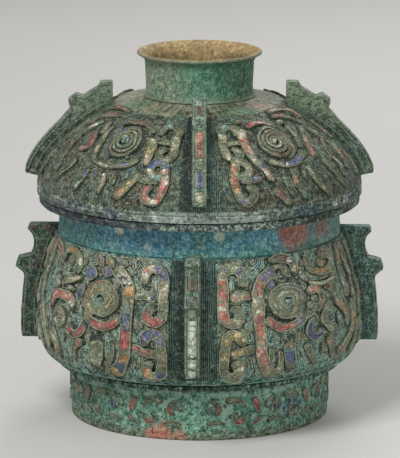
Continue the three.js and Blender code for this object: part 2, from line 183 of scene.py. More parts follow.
# Ground: the strip beside each flange in degrees, its lines' spacing, how far down the relief reaches, and
# the table of distances from the relief
BOWL_STRIP = 8.6
LID_STRIP = 7.2
STRIP_PITCH = 1.5
BOWL_GROUND_END = 86.5
LID_GROUND_END = 84.5
GROUND_STEP = 0.8
GROUND_COLUMNS = 226
GROUND_ROWS = 141
GROUND_TOP = -2
GROUND_LOW = 88


def bowl_radius(z):
    """The bowl's outer radius at a level from its moulding up to the underside of its lip."""
    if z <= BELLY_LEVEL:
        share = (BELLY_LEVEL - z) / (BELLY_LEVEL - MOULDING_LEVEL)
        swell = max(0, 1 - share**BELLY_POWER) ** (1 / BELLY_POWER)
        return BELLY_FOOT_RADIUS + (BODY_RADIUS - BELLY_FOOT_RADIUS) * swell
    if z <= NECK_LINE_LEVEL:
        share = (z - BELLY_LEVEL) / (NECK_LINE_LEVEL - BELLY_LEVEL)
        return NECK_LINE_RADIUS + (BODY_RADIUS - NECK_LINE_RADIUS) * (1 - share**SHOULDER_POWER)
    if z <= NECK_LEVEL:
        share = (NECK_LEVEL - z) / (NECK_LEVEL - NECK_LINE_LEVEL)
        return NECK_RADIUS + (NECK_LINE_RADIUS - 0.7 - NECK_RADIUS) * share**2
    share = (z - NECK_LEVEL) / (LIP_LOW - NECK_LEVEL)
    return NECK_RADIUS + COVE_REACH * share**3


def lid_radius(z):
    """The lid's outer radius at a level from its rim up to its collar."""
    share = max(0, (z - DOME_LOW) / DOME_RISE)
    return BODY_RADIUS - (BODY_RADIUS - COLLAR_RADIUS) * share**DOME_POWER


class Wall:
    """A line of (radius, level) points down a casting, measured in millimetres down from its top line."""

    def __init__(self, radii, levels, down, turn=0):
        self.r, self.z, self.down = np.array(radii, float), np.array(levels, float), np.array(down, float)
        self.turn = math.radians(turn)

    def at(self, down):
        return np.interp(down, self.down, self.r), np.interp(down, self.down, self.z)

    def outward(self, down):
        (r0, z0), (r1, z1) = self.at(down - 0.6), self.at(down + 0.6)
        run = np.hypot(r1 - r0, z1 - z0) + 1e-9
        return (z0 - z1) / run, (r1 - r0) / run

    def per_degree(self, down):
        return math.radians(1) * self.at(down)[0]


def wall_of(radius_at, top, bottom, turn=0, spare=0):
    levels = np.linspace(top + spare, bottom, 500)
    radii = np.array([radius_at(z) for z in levels])
    down = np.concatenate([[0], np.cumsum(np.hypot(np.diff(radii), np.diff(levels)))])
    return Wall(radii, levels, down - np.interp(-top, -levels, down), turn)


BOWL_LINE = wall_of(bowl_radius, NECK_LINE_LEVEL, MOULDING_LEVEL, spare=4)
LID_LINE = wall_of(lid_radius, DOME_TOP, DOME_LOW, LID_TURN)
FOOT_LINE = wall_of(lambda z: FOOT_RADIUS, FOOT_TOP, 0)


class Quarter:
    """A quarter of a wall, drawn from a flange: degrees to one side of it and millimetres down the wall."""

    def __init__(self, wall, facing, side):
        self.wall = wall
        self.facing = math.radians(facing) + wall.turn
        self.side = side

    def spots(self, degrees, down, height):
        r, z = self.wall.at(down)
        out_r, out_z = self.wall.outward(down)
        angle = self.facing + self.side * np.radians(degrees)
        r = r + out_r * height
        return np.stack([r * np.sin(angle), -r * np.cos(angle), z + out_z * height], -1).reshape(-1, 3) * MM


class FlangeEdge:
    """A flange's outer edge: millimetres across its thickness, and millimetres down the wall it stands on."""

    def __init__(self, wall, facing):
        self.wall = wall
        self.facing = math.radians(facing) + wall.turn

    def spots(self, across, down, height):
        r, z = self.wall.at(down)
        out_r, out_z = self.wall.outward(down)
        r = r + out_r * height
        x = r * math.sin(self.facing) + across * math.cos(self.facing)
        y = -r * math.cos(self.facing) + across * math.sin(self.facing)
        return np.stack([x, y, z + out_z * height], -1).reshape(-1, 3) * MM


class FlangeSide:
    """A flange's broad side: millimetres out from the wall, and millimetres down it."""

    def __init__(self, spot, half, facing, turn, side):
        self.spot, self.half, self.side = spot, half, side
        self.facing = math.radians(facing + turn)
        self.wall = self

    def per_degree(self, down):
        return 1.0 + 0.0 * down

    def spots(self, out, down, height):
        out, down, height = np.broadcast_arrays(out, down, height)
        places = np.array([self.spot(s, o) for o, s in zip(out.ravel(), down.ravel())])
        across = self.side * (self.half + height.ravel())
        x = places[:, 0] * math.sin(self.facing) + across * math.cos(self.facing)
        y = -places[:, 0] * math.cos(self.facing) + across * math.sin(self.facing)
        return np.stack([x, y, places[:, 1]], -1) * MM


# Paths on a wall, as (degrees, millimetres down) points

def through(*points):
    """A smooth line through a few points, with as many steps on each leg."""
    rows = [points[0], *points, points[-1]]
    line = []
    for a, b, c, d in zip(rows, rows[1:], rows[2:], rows[3:]):
        for step in range(LEG_STEPS):
            t = step / LEG_STEPS
            line.append(tuple(
                0.5 * (2 * q + (r - p) * t + (2 * p - 5 * q + 4 * r - s) * t**2 + (3 * q - p - 3 * r + s) * t**3)
                for p, q, r, s in zip(a, b, c, d)
            ))
    return line + [points[-1]]


def curl(wall, centre, radius, start, turn, end_radius=None, stretch=1):
    """An arc, or a spiral if it ends at another radius. Angles are anticlockwise from the viewer's right."""
    end_radius = radius if end_radius is None else end_radius
    count = max(6, int(abs(turn) / 9))
    per_degree = float(wall.per_degree(centre[1]))
    line = []
    for step in range(count + 1):
        share = step / count
        angle = math.radians(start + turn * share)
        reach = radius + (end_radius - radius) * share
        line.append((centre[0] + reach * math.cos(angle) / per_degree,
                     centre[1] - reach * stretch * math.sin(angle)))
    return line


class Track:
    """A path on a wall that can be walked in millimetres."""

    def __init__(self, wall, points):
        flat = [points[0]]
        for point in points[1:]:
            if abs(point[0] - flat[-1][0]) + abs(point[1] - flat[-1][1]) > 1e-4:
                flat.append(point)
        self.points = np.array(flat, float)
        self.scale = wall.per_degree(self.points[:, 1]) * np.ones(len(flat))
        steps = np.diff(self.points, axis=0)
        legs = np.hypot(steps[:, 0] * (self.scale[1:] + self.scale[:-1]) / 2, steps[:, 1])
        self.walked = np.concatenate([[0], np.cumsum(legs)])
        self.length = float(self.walked[-1])

    def at(self, distance):
        return tuple(np.interp(distance, self.walked, row) for row in (*self.points.T, self.scale))

    def frames(self, distance, reach=0.7):
        """Points, local scale, and the way to the left of the path in millimetres across and down."""
        degrees, down, scale = self.at(distance)
        before = self.at(np.maximum(0, distance - reach))
        after = self.at(np.minimum(self.length, distance + reach))
        across, fall = (after[0] - before[0]) * scale, after[1] - before[1]
        run = np.hypot(across, fall) + 1e-9
        return degrees, down, scale, fall / run, -across / run


class Relief:
    """Closed forms laid on a surface, collected into one mesh. Points keep their lift, from 0 at the wall to 1
    at their form's top, and each form keeps a shade of its own."""

    def __init__(self):
        self.points, self.faces, self.kinds, self.lift, self.shade = [], [], [], [], []

    def add(self, points, lift, rings, size, kind, shades):
        """Tubes of equal make, each of some rings of points with a cap at both ends."""
        first = len(self.points)
        self.points.extend(points.tolist())
        self.lift.extend(lift.tolist())
        make = [
            (ring * size + k, ring * size + (k + 1) % size, (ring + 1) * size + (k + 1) % size,
             (ring + 1) * size + k)
            for ring in range(rings - 1) for k in range(size)
        ]
        make.append(tuple(range(size - 1, -1, -1)))
        make.append(tuple(range((rings - 1) * size, rings * size)))
        for copy, shade in enumerate(shades):
            start = first + copy * rings * size
            self.faces.extend([tuple(start + k for k in face) for face in make])
            self.shade.extend([shade] * (rings * size))
        self.kinds.extend([kind] * (len(make) * len(shades)))

    def sweep(self, place, track, section, start, end, ends, kind, shade=0.5, step=1.5, top=None,
              taper=(1, 1)):
        """Lays a section of (across, height) points along a stretch of a track, narrowed over both ends. A taper
        gives its width's share at the track's start and end."""
        length = end - start
        if length < 0.8:
            return
        reach = [min(e, length * 0.48) for e in ends]
        bends = [(1 - math.cos(QUARTER_TURN * k / 3), max(0.1, math.sin(QUARTER_TURN * k / 3)))
                 for k in range(3)]
        inner = max(1, round((length - sum(reach)) / step))
        rows = [(reach[0] * d, w) for d, w in bends] if reach[0] else []
        rows += [(reach[0] + (length - sum(reach)) * k / inner, 1.0) for k in range(inner + 1)]
        rows += [(length - reach[1] * d, w) for d, w in reversed(bends)] if reach[1] else []
        walk, share = np.array(rows).T
        degrees, down, scale, left, fall = (v[:, None] for v in track.frames(start + walk))
        across, height = (np.array(v)[None, :] for v in zip(*section))
        reach_across = across * share[:, None] * np.interp(start + walk, [0, track.length], taper)[:, None]
        high = height * np.where(height > 0, 0.55 + 0.45 * share[:, None], 1.0)
        points = place.spots(degrees + left * reach_across / scale, down + fall * reach_across, high)
        top = top or max(h for _, h in section)
        self.add(points, np.clip(high / top, 0, 1).reshape(-1), len(rows), len(section), kind, [shade])

    def dome(self, place, centre, wide, tall, height, kind, shade=0.5, power=2.0, spin=0, steps=14,
             crown=1.0):
        """A raised round, or a lozenge where the power is near 1. Centre in degrees and millimetres."""
        rows = [(1.0, ROOT), (1.0, height * 0.45), (0.92, height * 0.78),
                (0.70, height * (0.78 + 0.17 * crown)),
                (0.35, height * (0.78 + 0.22 * crown))]
        turn = np.arange(steps) / steps * 2 * math.pi
        x = np.sign(np.cos(turn)) * np.abs(np.cos(turn)) ** (2 / power) * wide
        y = np.sign(np.sin(turn)) * np.abs(np.sin(turn)) ** (2 / power) * tall
        c, s = math.cos(math.radians(spin)), math.sin(math.radians(spin))
        x, y = x * c - y * s, x * s + y * c
        shares = np.array([r[0] for r in rows])[:, None]
        highs = np.array([r[1] for r in rows])[:, None] * np.ones((1, steps))
        scale = float(place.wall.per_degree(centre[1]))
        points = place.spots(centre[0] + x[None, :] * shares / scale, centre[1] - y[None, :] * shares,
                             highs)
        self.add(points, np.clip(highs / height, 0, 1).reshape(-1), len(rows), steps, kind, [shade])

    def build(self, name, finishes, body, slot, smooth=40, wear=0.0):
        used = sorted(set(self.kinds))
        mesh = bpy.data.meshes.new(name)
        mesh.from_pydata(uneven(self.points, wear) if wear else self.points, [], self.faces)
        for title, values in (("lift", self.lift), ("shade", self.shade)):
            mesh.attributes.new(title, "FLOAT", "POINT").data.foreach_set("value", values)
        for kind in used:
            mesh.materials.append(finishes[kind])
        mesh.polygons.foreach_set("material_index", [used.index(kind) for kind in self.kinds])
        form = bmesh.new()
        form.from_mesh(mesh)
        bmesh.ops.recalc_face_normals(form, faces=form.faces)
        form.to_mesh(mesh)
        form.free()
        piece = bpy.data.objects.new(name, mesh)
        bpy.context.scene.collection.objects.link(piece)
        smooth_by_angle(piece, smooth)
        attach(piece, body)
        return piece


def uneven(points, wear):
    """Moves points a little, near ones alike, as forms worked by hand are uneven."""
    moved = []
    for point in points:
        spot = Vector(point)
        wide, fine = noise.noise_vector(spot / (10 * MM)), noise.noise_vector(spot / (3 * MM))
        moved.append(spot + (wide * 1.2 + fine * 0.55) * (wear * MM))
    return moved


class Ground:
    """How far each place on a wall lies from the nearest raised form: a table for the right hand of a flange and
    one for the left."""

    def __init__(self, wall, bottom):
        self.wall, self.bottom = wall, bottom
        self.degrees = np.linspace(0, 90, GROUND_COLUMNS)
        self.down = np.linspace(GROUND_TOP, GROUND_LOW, GROUND_ROWS)
        self.away = np.full((2, len(self.down), len(self.degrees)), 99.0)

    def clear(self, hand, degrees, down, half):
        """Marks a round form, or each point of a band."""
        scale = self.wall.per_degree(self.down)[:, None]
        across = np.abs(self.degrees[None, :] - degrees) * scale
        fall = np.abs(self.down[:, None] - down)
        self.away[hand] = np.minimum(self.away[hand], (across**3 + fall**3) ** (1 / 3) - half)

    def mark(self, piece):
        """Gives a casting's points their distance from the relief, their place across and whether they bear any."""
        spots = np.empty(len(piece.data.vertices) * 3)
        piece.data.vertices.foreach_get("co", spots)
        x, y, z = spots.reshape(-1, 3).T / MM
        reach = np.hypot(x, y)
        turned_by = (np.degrees(np.arctan2(x, -y) - self.wall.turn) + 180) % 360 - 180
        hand = (turned_by < 0).astype(int)
        turned_by = np.abs(turned_by)
        degrees = np.where(turned_by > 90, 180 - turned_by, turned_by)
        down = np.interp(-z, -self.wall.z, self.wall.down)
        on_wall = ((np.abs(reach - self.wall.at(down)[0]) < 1.5) & (down > 0.4)
                   & (down < min(self.bottom, self.wall.down[-1] - 2)))
        column = np.clip(degrees / 90 * (GROUND_COLUMNS - 1), 0, GROUND_COLUMNS - 1.001)
        share = (down - GROUND_TOP) / (GROUND_LOW - GROUND_TOP)
        row = np.clip(share * (GROUND_ROWS - 1), 0, GROUND_ROWS - 1.001)
        c, r = column.astype(int), row.astype(int)
        u, v = column - c, row - r
        away = ((self.away[hand, r, c] * (1 - u) + self.away[hand, r, c + 1] * u) * (1 - v)
                + (self.away[hand, r + 1, c] * (1 - u) + self.away[hand, r + 1, c + 1] * u) * v)
        for name, values in (("away", away), ("across", degrees * self.wall.per_degree(down)),
                             ("beside", degrees), ("bears", on_wall.astype(float))):
            piece.data.attributes.new(name, "FLOAT", "POINT").data.foreach_set("value", values)


def smooth_by_angle(piece, angle):
    bpy.ops.object.select_all(action="DESELECT")
    piece.select_set(True)
    bpy.context.view_layer.objects.active = piece
    bpy.ops.object.shade_smooth_by_angle(angle=math.radians(angle))
    piece.select_set(False)


# Camera, floor and lamps

def place_camera():
    back = Vector((math.sin(AZIMUTH) * math.cos(ELEVATION), -math.cos(AZIMUTH) * math.cos(ELEVATION),
                   math.sin(ELEVATION)))
    bpy.ops.object.camera_add(location=AIM + back * CAMERA_DISTANCE)
    camera = bpy.context.object
    camera.rotation_euler = back.to_track_quat("Z", "Y").to_euler()
    camera.data.lens = LENS
    camera.data.sensor_width = SENSOR
    bpy.context.scene.camera = camera


def lamp(name, azimuth, elevation, distance, size, level):
    """A soft lamp that lights a white surface facing it to a level."""
    a, e = math.radians(azimuth), math.radians(elevation)
    way = Vector((math.sin(a) * math.cos(e), -math.cos(a) * math.cos(e), math.sin(e)))
    bpy.ops.object.light_add(type="AREA", location=LAMP_AIM + way * distance)
    light = bpy.context.object
    light.name = name
    light.rotation_euler = way.to_track_quat("Z", "Y").to_euler()
    light.data.size = size
    light.data.energy = level * (math.pi * distance) ** 2


def world_light(level, seen):
    world = bpy.data.worlds.new("studio")
    bpy.context.scene.world = world
    world.use_nodes = True
    nodes, links = world.node_tree.nodes, world.node_tree.links
    nodes.clear()
    path = nodes.new("ShaderNodeLightPath")
    open_view = nodes.new("ShaderNodeMath")
    open_view.operation = "MAXIMUM"
    through_view = nodes.new("ShaderNodeMath")
    through_view.operation = "MAXIMUM"
    links.new(path.outputs["Is Camera Ray"], open_view.inputs[0])
    links.new(path.outputs["Is Glossy Ray"], open_view.inputs[1])
    links.new(open_view.outputs[0], through_view.inputs[0])
    links.new(path.outputs["Is Transmission Ray"], through_view.inputs[1])
    soft, plain = nodes.new("ShaderNodeBackground"), nodes.new("ShaderNodeBackground")
    soft.inputs["Strength"].default_value = level
    plain.inputs["Color"].default_value = (seen, seen, seen * 0.99, 1)
    chosen = nodes.new("ShaderNodeMixShader")
    links.new(through_view.outputs[0], chosen.inputs[0])
    links.new(soft.outputs[0], chosen.inputs[1])
    links.new(plain.outputs[0], chosen.inputs[2])
    links.new(chosen.outputs[0], nodes.new("ShaderNodeOutputWorld").inputs["Surface"])


# Shader maths

class Wire:
    """One output of a node, so that shader maths reads as a sum."""

    def __init__(self, finish, socket):
        self.finish = finish
        self.socket = socket

    def maths(self, operation, first, second):
        return self.finish.node("Math", {"operation": operation}, {0: first, 1: second})

    def __add__(self, other):
        return self.maths("ADD", self, other)

    __radd__ = __add__

    def __sub__(self, other):
        return self.maths("SUBTRACT", self, other)

    def __rsub__(self, other):
        return self.maths("SUBTRACT", other, self)

    def __mul__(self, other):
        return self.maths("MULTIPLY", self, other)

    __rmul__ = __mul__

    def most(self, other):
        return self.maths("MAXIMUM", self, other)

    def shaken(self, noise, reach):
        """Itself, moved by a noise, at most half a reach either way."""
        return self + (noise - 0.5) * reach

    def between(self, low, high):
        """0 at low, 1 at high and a smooth rise between; where low is above high, it falls."""
        return self.finish.node(
            "MapRange", {"interpolation_type": "SMOOTHSTEP"},
            {"Value": self, "From Min": low, "From Max": high, "To Min": 0.0, "To Max": 1.0},
        )


def tint(red, green, blue):
    """A colour as it appears, 0 to 255, as the shader takes it."""
    def straight(value):
        value /= 255
        return value / 12.92 if value <= 0.04045 else ((value + 0.055) / 1.055) ** 2.4
    return (straight(red), straight(green), straight(blue), 1.0)


class Finish:
    """A material, with the nodes that make it."""

    def __init__(self, name):
        self.material = bpy.data.materials.new(name)
        self.material.use_nodes = True
        self.tree = self.material.node_tree
        self.shader = self.tree.nodes["Principled BSDF"]
        self.place = self.node("TexCoord", {}, {}, "Object")
        apart = self.tree.nodes.new("ShaderNodeSeparateXYZ")
        self.tree.links.new(self.place.socket, apart.inputs[0])
        self.x, self.y, self.z = (Wire(self, apart.outputs[k]) * (1 / MM) for k in range(3))

    def node(self, kind, settings, sockets, out=0):
        made = self.tree.nodes.new("ShaderNode" + kind)
        for setting, value in settings.items():
            setattr(made, setting, value)
        for socket, value in sockets.items():
            if isinstance(value, Wire):
                self.tree.links.new(value.socket, made.inputs[socket])
            else:
                made.inputs[socket].default_value = value
        return Wire(self, made.outputs[out])

    def noise(self, size, detail=3.0, rough=0.55, shift=0.0, where=None):
        """Noise with features of about a size in millimetres."""
        where = where or self.place
        if shift:
            where = self.node("VectorMath", {"operation": "ADD"}, {0: where, 1: (shift, -shift, shift * 2)})
        return self.node(
            "TexNoise", {}, {"Vector": where, "Scale": 1 / (size * MM), "Detail": detail,
                             "Roughness": rough})

    def chips(self, size, channel="X"):
        """A number from 0 to 1 for each of many small chips."""
        colour = self.node("TexVoronoi", {}, {"Vector": self.place, "Scale": 1 / (size * MM)}, "Color")
        return self.node("SeparateXYZ", {}, {0: colour}, channel)

    def cracks(self, size):
        """0 on the lines between chips."""
        return self.node(
            "TexVoronoi", {"feature": "DISTANCE_TO_EDGE"}, {"Vector": self.place, "Scale": 1 / (size * MM)},
            "Distance")

    def mix(self, factor, first, second):
        """The first colour where the factor is 0, the second where it is 1."""
        return self.node("Mix", {"data_type": "RGBA"}, {0: factor, 6: first, 7: second}, 2)

    def blend(self, factor, first, second):
        """The first number where the factor is 0, the second where it is 1."""
        return first + (second - first) * factor

    def wave(self, turns):
        """From -1 to 1 and back over each whole turn."""
        return self.node("Math", {"operation": "SINE"}, {0: turns * (2 * math.pi)})

    def attribute(self, name):
        return self.node("Attribute", {"attribute_name": name}, {}, "Fac")

    def near(self, centre, radius, ragged):
        """1 round a point in millimetres, with a ragged edge."""
        middle = tuple(c * MM for c in centre)
        away = self.node("VectorMath", {"operation": "DISTANCE"}, {0: self.place, 1: middle},
                         "Value") * (1 / MM)
        return away.shaken(ragged, radius * 1.6).between(radius * (1 + SOFT_EDGE), radius * (1 - SOFT_EDGE))

    def made(self, colour, roughness, metallic, height=None, depth=0.3, coat=0.0):
        for socket, value in (("Base Color", colour), ("Roughness", roughness), ("Metallic", metallic)):
            if isinstance(value, Wire):
                self.tree.links.new(value.socket, self.shader.inputs[socket])
            else:
                self.shader.inputs[socket].default_value = value
        self.shader.inputs["Coat Weight"].default_value = coat
        self.shader.inputs["Coat Roughness"].default_value = 0.35
        if height is not None:
            bump = self.node("Bump", {}, {"Strength": 1.0, "Distance": depth * MM, "Height": height})
            self.tree.links.new(bump.socket, self.shader.inputs["Normal"])
        return self.material


# Patina colours, as they appear
PALE_GREEN = tint(168, 186, 160)
MALACHITE = tint(46, 112, 72)
CUPRITE = tint(134, 66, 54)
AZURITE = tint(46, 60, 118)
BLACKISH = tint(22, 30, 27)
WHITISH = tint(206, 214, 196)


def crust(finish, base, light, dark, fine=1.0, amount=0.85):
    """The crust on all the old bronze: pale grains and dark pits over a base. Gives its colour and height."""
    tone = finish.noise(3.6 * fine, 4, 0.75, 0.031) * 0.5 + finish.noise(1.3 * fine, 3, 0.8, 0.017) * 0.5
    colour = finish.mix(tone.between(0.53, 0.58) * amount, base, light)
    return finish.mix(tone.between(0.48, 0.43) * amount, colour, dark), tone


def overgrown(finish, colour, share=0.75):
    """Grainy scabs that lie over casting, ground and stones alike."""
    grains = finish.noise(1.3, 3, 0.85, 0.023)
    cover = finish.noise(7, 5, 0.8, 0.057).shaken(grains, 0.5).between(0.575, 0.625)
    scab = finish.mix(grains.between(0.45, 0.54), tint(34, 60, 52), tint(164, 178, 152))
    return finish.mix(cover * share, colour, scab)


def mottled(finish, colour, size, dark, pale, share=0.8):
    """Sharp blotches, darker and paler."""
    blotch = finish.noise(size, 5, 0.85, 0.073)
    colour = finish.mix(blotch.between(0.47, 0.43) * share, colour, dark)
    return finish.mix(blotch.between(0.545, 0.585) * share, colour, pale)


def metal_patina(name, base, second, light=PALE_GREEN, dark=BLACKISH, patches=None, depth=0.4, fine=1.0,
                 lines=None,
                 amount=0.85):
    """Patina for a plain casting, with patches of its own painted by a function, and fine lines on its ground."""
    finish = Finish(name)
    drift = finish.noise(30, 4, 0.65, 0.05)
    colour = finish.mix(drift.between(0.42, 0.58), base, second)
    if patches:
        colour = patches(finish, colour, finish.noise(11, 4, 0.6, 0.021))
    ridge = 0.0
    if lines:
        colour, ridge, strip = contour_lines(finish, colour, *lines)
        colour = overgrown(finish, colour, 0.5)
        bare = colour
    colour, tone = crust(finish, colour, light, dark, fine, amount)
    if lines:
        lip = finish.z.between(151.5, 152.5) * finish.z.between(159, 158.4) * finish.x.between(-20, -50)
        neck = finish.z.between(130.5, 131.5) * finish.z.between(152.5, 151.5)
        colour = finish.mix(strip.most(lip).most(neck * 0.6) * 0.72, colour, bare)
    return finish.made(colour, 0.92 - tone * 0.5, 0.2, tone + ridge, depth)


def spots_of(finish, colour, ragged, rows):
    """Paints patches over a colour: each a place, a radius, a colour and how much of it."""
    for centre, radius, other, amount in rows:
        colour = finish.mix(finish.near(centre, radius, ragged) * amount, colour, other)
    return colour


def bowl_patches(finish, colour, ragged):
    """Blue neck, red and blue patches below the lip, a worn lip darkened by painted shade from the lid rim, and
    painted shade below the moulding with a painted highlight on its edge.
    """
    level = finish.z.shaken(ragged, 3)
    neck = finish.z.shaken(ragged, 9).between(129.4, 131.6) * level.between(153, 151)
    sea = finish.mix(finish.noise(9, 4, 0.7, 0.07).between(0.44, 0.56), tint(74, 148, 174),
                     tint(64, 130, 134))
    sea = finish.mix(level.between(142, 131) * 0.8, sea, tint(76, 142, 126))
    sea = mottled(finish, sea, 3, tint(30, 64, 80), tint(166, 206, 208), 0.68)
    sea = finish.mix(finish.x.between(-34, -84) * 0.42, sea, tint(44, 78, 92))
    sea = finish.mix(finish.x.between(46, 84) * 0.5, sea, tint(84, 92, 72))
    colour = finish.mix(neck, colour, sea)
    colour = spots_of(finish, colour, ragged, (
        ((-30, -96, 144), 22, tint(52, 100, 132), 0.4), ((67, -72, 147), 14, tint(152, 84, 70), 0.85),
        ((88, -48, 146), 9, tint(132, 84, 74), 0.7), ((18, -97, 148), 4, WHITISH, 0.8),
        ((-52, -86, 149), 3.5, WHITISH, 0.8), ((-33, -96, 138), 3, WHITISH, 0.6),
        ((-60, 80, 146), 15, CUPRITE, 0.7),
    ))
    # Painted shade: the lip is darkened all round for the lid rim's shadow over it, with pale wear mottled in; its
    # sides are darker still, the left one also blue.
    lip = level.between(152.2, 153.2)
    worn = mottled(finish, tint(68, 84, 86), 6, tint(16, 26, 28), tint(168, 182, 174), 0.95)
    colour = finish.mix(lip * 0.95, colour, worn)
    shaded_lip_side = lip * finish.x.between(-30, -62)
    blue_shaded_lip = mottled(finish, tint(18, 24, 42), 4, tint(10, 18, 60), tint(54, 66, 70))
    colour = finish.mix(shaded_lip_side * 0.95, colour, blue_shaded_lip)
    colour = finish.mix(lip * finish.x.between(44, 78) * 0.85, colour, tint(26, 38, 34))
    colour = spots_of(finish, colour, ragged, (((52, 84, 155), 14, AZURITE, 0.7),))
    # Painted shade below the moulding, where the cove lies in shadow.
    low = finish.z.between(41.8, 41)
    green = mottled(finish, tint(34, 100, 88), 7, tint(8, 36, 32), tint(158, 204, 188), 0.95)
    colour = finish.mix(finish.z.between(55, 48) * 0.85, colour, green)
    painted_shade_below_moulding = mottled(finish, tint(18, 60, 52), 7, tint(6, 18, 16), tint(104, 152, 136), 0.95)
    colour = finish.mix(low * 0.95, colour, painted_shade_below_moulding)
    # A painted highlight along the moulding's edge.
    edge = finish.z.between(41.4, 41.9) * finish.z.between(45, 43.8)
    return finish.mix(edge * ragged.between(0.40, 0.52) * 0.8, colour, tint(150, 186, 172))


def lid_patches(finish, colour, ragged):
    """A streaky earthy shoulder with painted shade on its right, a pale rim with blue and green in it, worn and
    partly a painted highlight, and rust by the collar.
    """
    level = finish.node("VectorMath", {"operation": "MULTIPLY"}, {0: finish.place, 1: (1, 1, 0)})
    far = finish.node("VectorMath", {"operation": "LENGTH"}, {0: level}, "Value") * 0.05
    way = finish.node("VectorMath", {"operation": "NORMALIZE"}, {0: level})
    rise = finish.node("CombineXYZ", {}, {2: far})
    spread = finish.node("VectorMath", {"operation": "MULTIPLY_ADD"},
                         {0: way, 1: (0.03, 0.03, 0.0), 2: rise})
    streaks = finish.noise(0.8, 4, 0.7, where=spread)
    shoulder = finish.z.shaken(ragged, 2).between(222.6, 223.4)
    earth = finish.mix(streaks.between(0.44, 0.56), tint(70, 78, 60), tint(168, 158, 130))
    # Painted shade: the shoulder is darker on its right, away from the key light.
    earth = finish.mix(finish.x.between(4, 40) * 0.7, earth, tint(66, 68, 52))
    colour = finish.mix(shoulder * 0.9, colour, earth)
    # The rim is paler: worn metal, and partly a painted highlight along its edge, brightest at the front.
    rim = finish.z.shaken(ragged, 2.4).between(168.0, 166.0)
    worn = mottled(finish, tint(104, 115, 108), 5, tint(16, 30, 30), tint(224, 229, 217), 0.95)
    worn = finish.mix(finish.near((8, -117, 164), 40, ragged) * 0.5, worn, tint(168, 182, 172))
    colour = finish.mix(rim, colour, worn)
    low_rim = finish.z.shaken(ragged, 2).between(163, 160.5) * finish.y.between(-104, -88)
    colour = finish.mix(low_rim * 0.8, colour, tint(42, 52, 50))
    return spots_of(finish, colour, ragged, (
        ((78, -84, 162), 17, tint(36, 72, 80), 0.85), ((-84, -76, 161), 12, tint(70, 76, 100), 0.5),
        ((-104, -44, 162), 11, tint(46, 60, 58), 0.8), ((108, -30, 162), 14, tint(40, 66, 72), 0.8),
        ((-58, -98, 161), 6, tint(52, 60, 110), 0.35), ((-60, -30, 221), 10, tint(112, 50, 42), 0.7),
        ((62, -27, 221), 11, tint(114, 56, 42), 0.7), ((30, -50, 224), 13, MALACHITE, 0.5),
        ((-44, -30, 225), 12, MALACHITE, 0.5), ((46, -28, 224), 9, tint(146, 118, 92), 0.6),
        ((-60, 92, 162), 17, AZURITE, 0.5), ((30, 42, 226), 14, CUPRITE, 0.45),
    ))


def crown_patches(finish, colour, ragged):
    """Pale grains on the left, bright green in the middle, painted shade to the right, and a worn tan lip."""
    # Painted shade on the right side, away from the key light.
    right = finish.x.shaken(ragged, 22).between(4, 26)
    colour = finish.mix(right * 0.7, colour, tint(52, 84, 66))
    side = finish.x.shaken(ragged, 44).between(0, -24)
    colour = finish.mix(side * 0.6, colour, tint(112, 122, 102))
    grains = finish.noise(1.7, 5, 0.85, 0.13).between(0.53, 0.57) * side
    colour = finish.mix(grains * 0.8, colour, tint(206, 200, 172))
    bare = finish.noise(9, 5, 0.8, 0.19).between(0.53, 0.60) * 0.7
    colour = finish.mix(bare, colour, tint(44, 74, 58))
    colour = mottled(finish, colour, 3.4, tint(34, 62, 46), tint(156, 186, 158), 0.5)
    foot = finish.z.shaken(ragged, 6).between(232.5, 229)
    colour = finish.mix(foot * 0.5, colour, tint(104, 108, 86))
    lip = finish.z.shaken(ragged, 3).between(256.6, 258.2)
    return finish.mix(lip * 0.75, colour, tint(126, 120, 98))


def foot_patches(finish, colour, ragged):
    """Earthy towards the ground, with salmon, blue, red and dark spots, a painted highlight band near the top and
    painted shade along the top edge.
    """
    colour = mottled(finish, colour, 4, tint(20, 52, 44), tint(196, 218, 204), 0.78)
    colour = finish.mix(finish.x.between(-36, -74) * 0.5, colour, tint(44, 66, 60))
    colour = finish.mix(finish.x.between(20, 50) * 0.3, colour, tint(48, 72, 66))
    level = finish.z.shaken(ragged, 4)
    # A painted highlight band a little below the foot's top.
    painted_highlight = level.between(FOOT_TOP - 8, FOOT_TOP - 4.5) * ragged.between(0.44, 0.54)
    colour = finish.mix(painted_highlight * 0.6, colour, tint(168, 206, 190))
    # Painted shade along the foot's top edge, below the bowl's moulding.
    colour = finish.mix(level.between(FOOT_TOP - 2.6, FOOT_TOP - 1) * 0.8, colour, tint(24, 46, 40))
    low = finish.z.shaken(ragged, 16).between(9, 3)
    earth = mottled(finish, tint(92, 92, 72), 4, tint(48, 50, 40), tint(146, 138, 112), 0.9)
    colour = finish.mix(low * 0.75, colour, earth)
    return spots_of(finish, colour, ragged, (
        ((-24, -88, 4), 9, tint(196, 122, 104), 0.85), ((-10, -91, 3), 5, tint(190, 124, 106), 0.7),
        ((-72, -54, 17), 7, tint(52, 72, 62), 0.7), ((30, 86, 5), 10, tint(190, 120, 100), 0.7),
        ((67, -62, 18), 7, tint(52, 60, 100), 0.7), ((54, -73, 23), 3.5, tint(164, 84, 76), 0.6),
        ((84, -35, 27), 4, tint(150, 74, 68), 0.6), ((-79, -46, 21), 5, tint(104, 62, 54), 0.5),
        ((78, -48, 10), 6, tint(40, 52, 50), 0.6), ((20, -89, 22), 6, tint(176, 206, 190), 0.5),
    ))


def inside_patina(name, base, second, light, dark):
    """The inside of the castings: earth over dull metal."""
    finish = Finish(name)
    colour = finish.mix(finish.noise(24, 4, 0.6).between(0.42, 0.58), base, second)
    colour, tone = crust(finish, colour, light, dark, 2.0, 0.6)
    return finish.made(colour, 0.95 - tone * 0.4, 0.05, tone, 0.4)


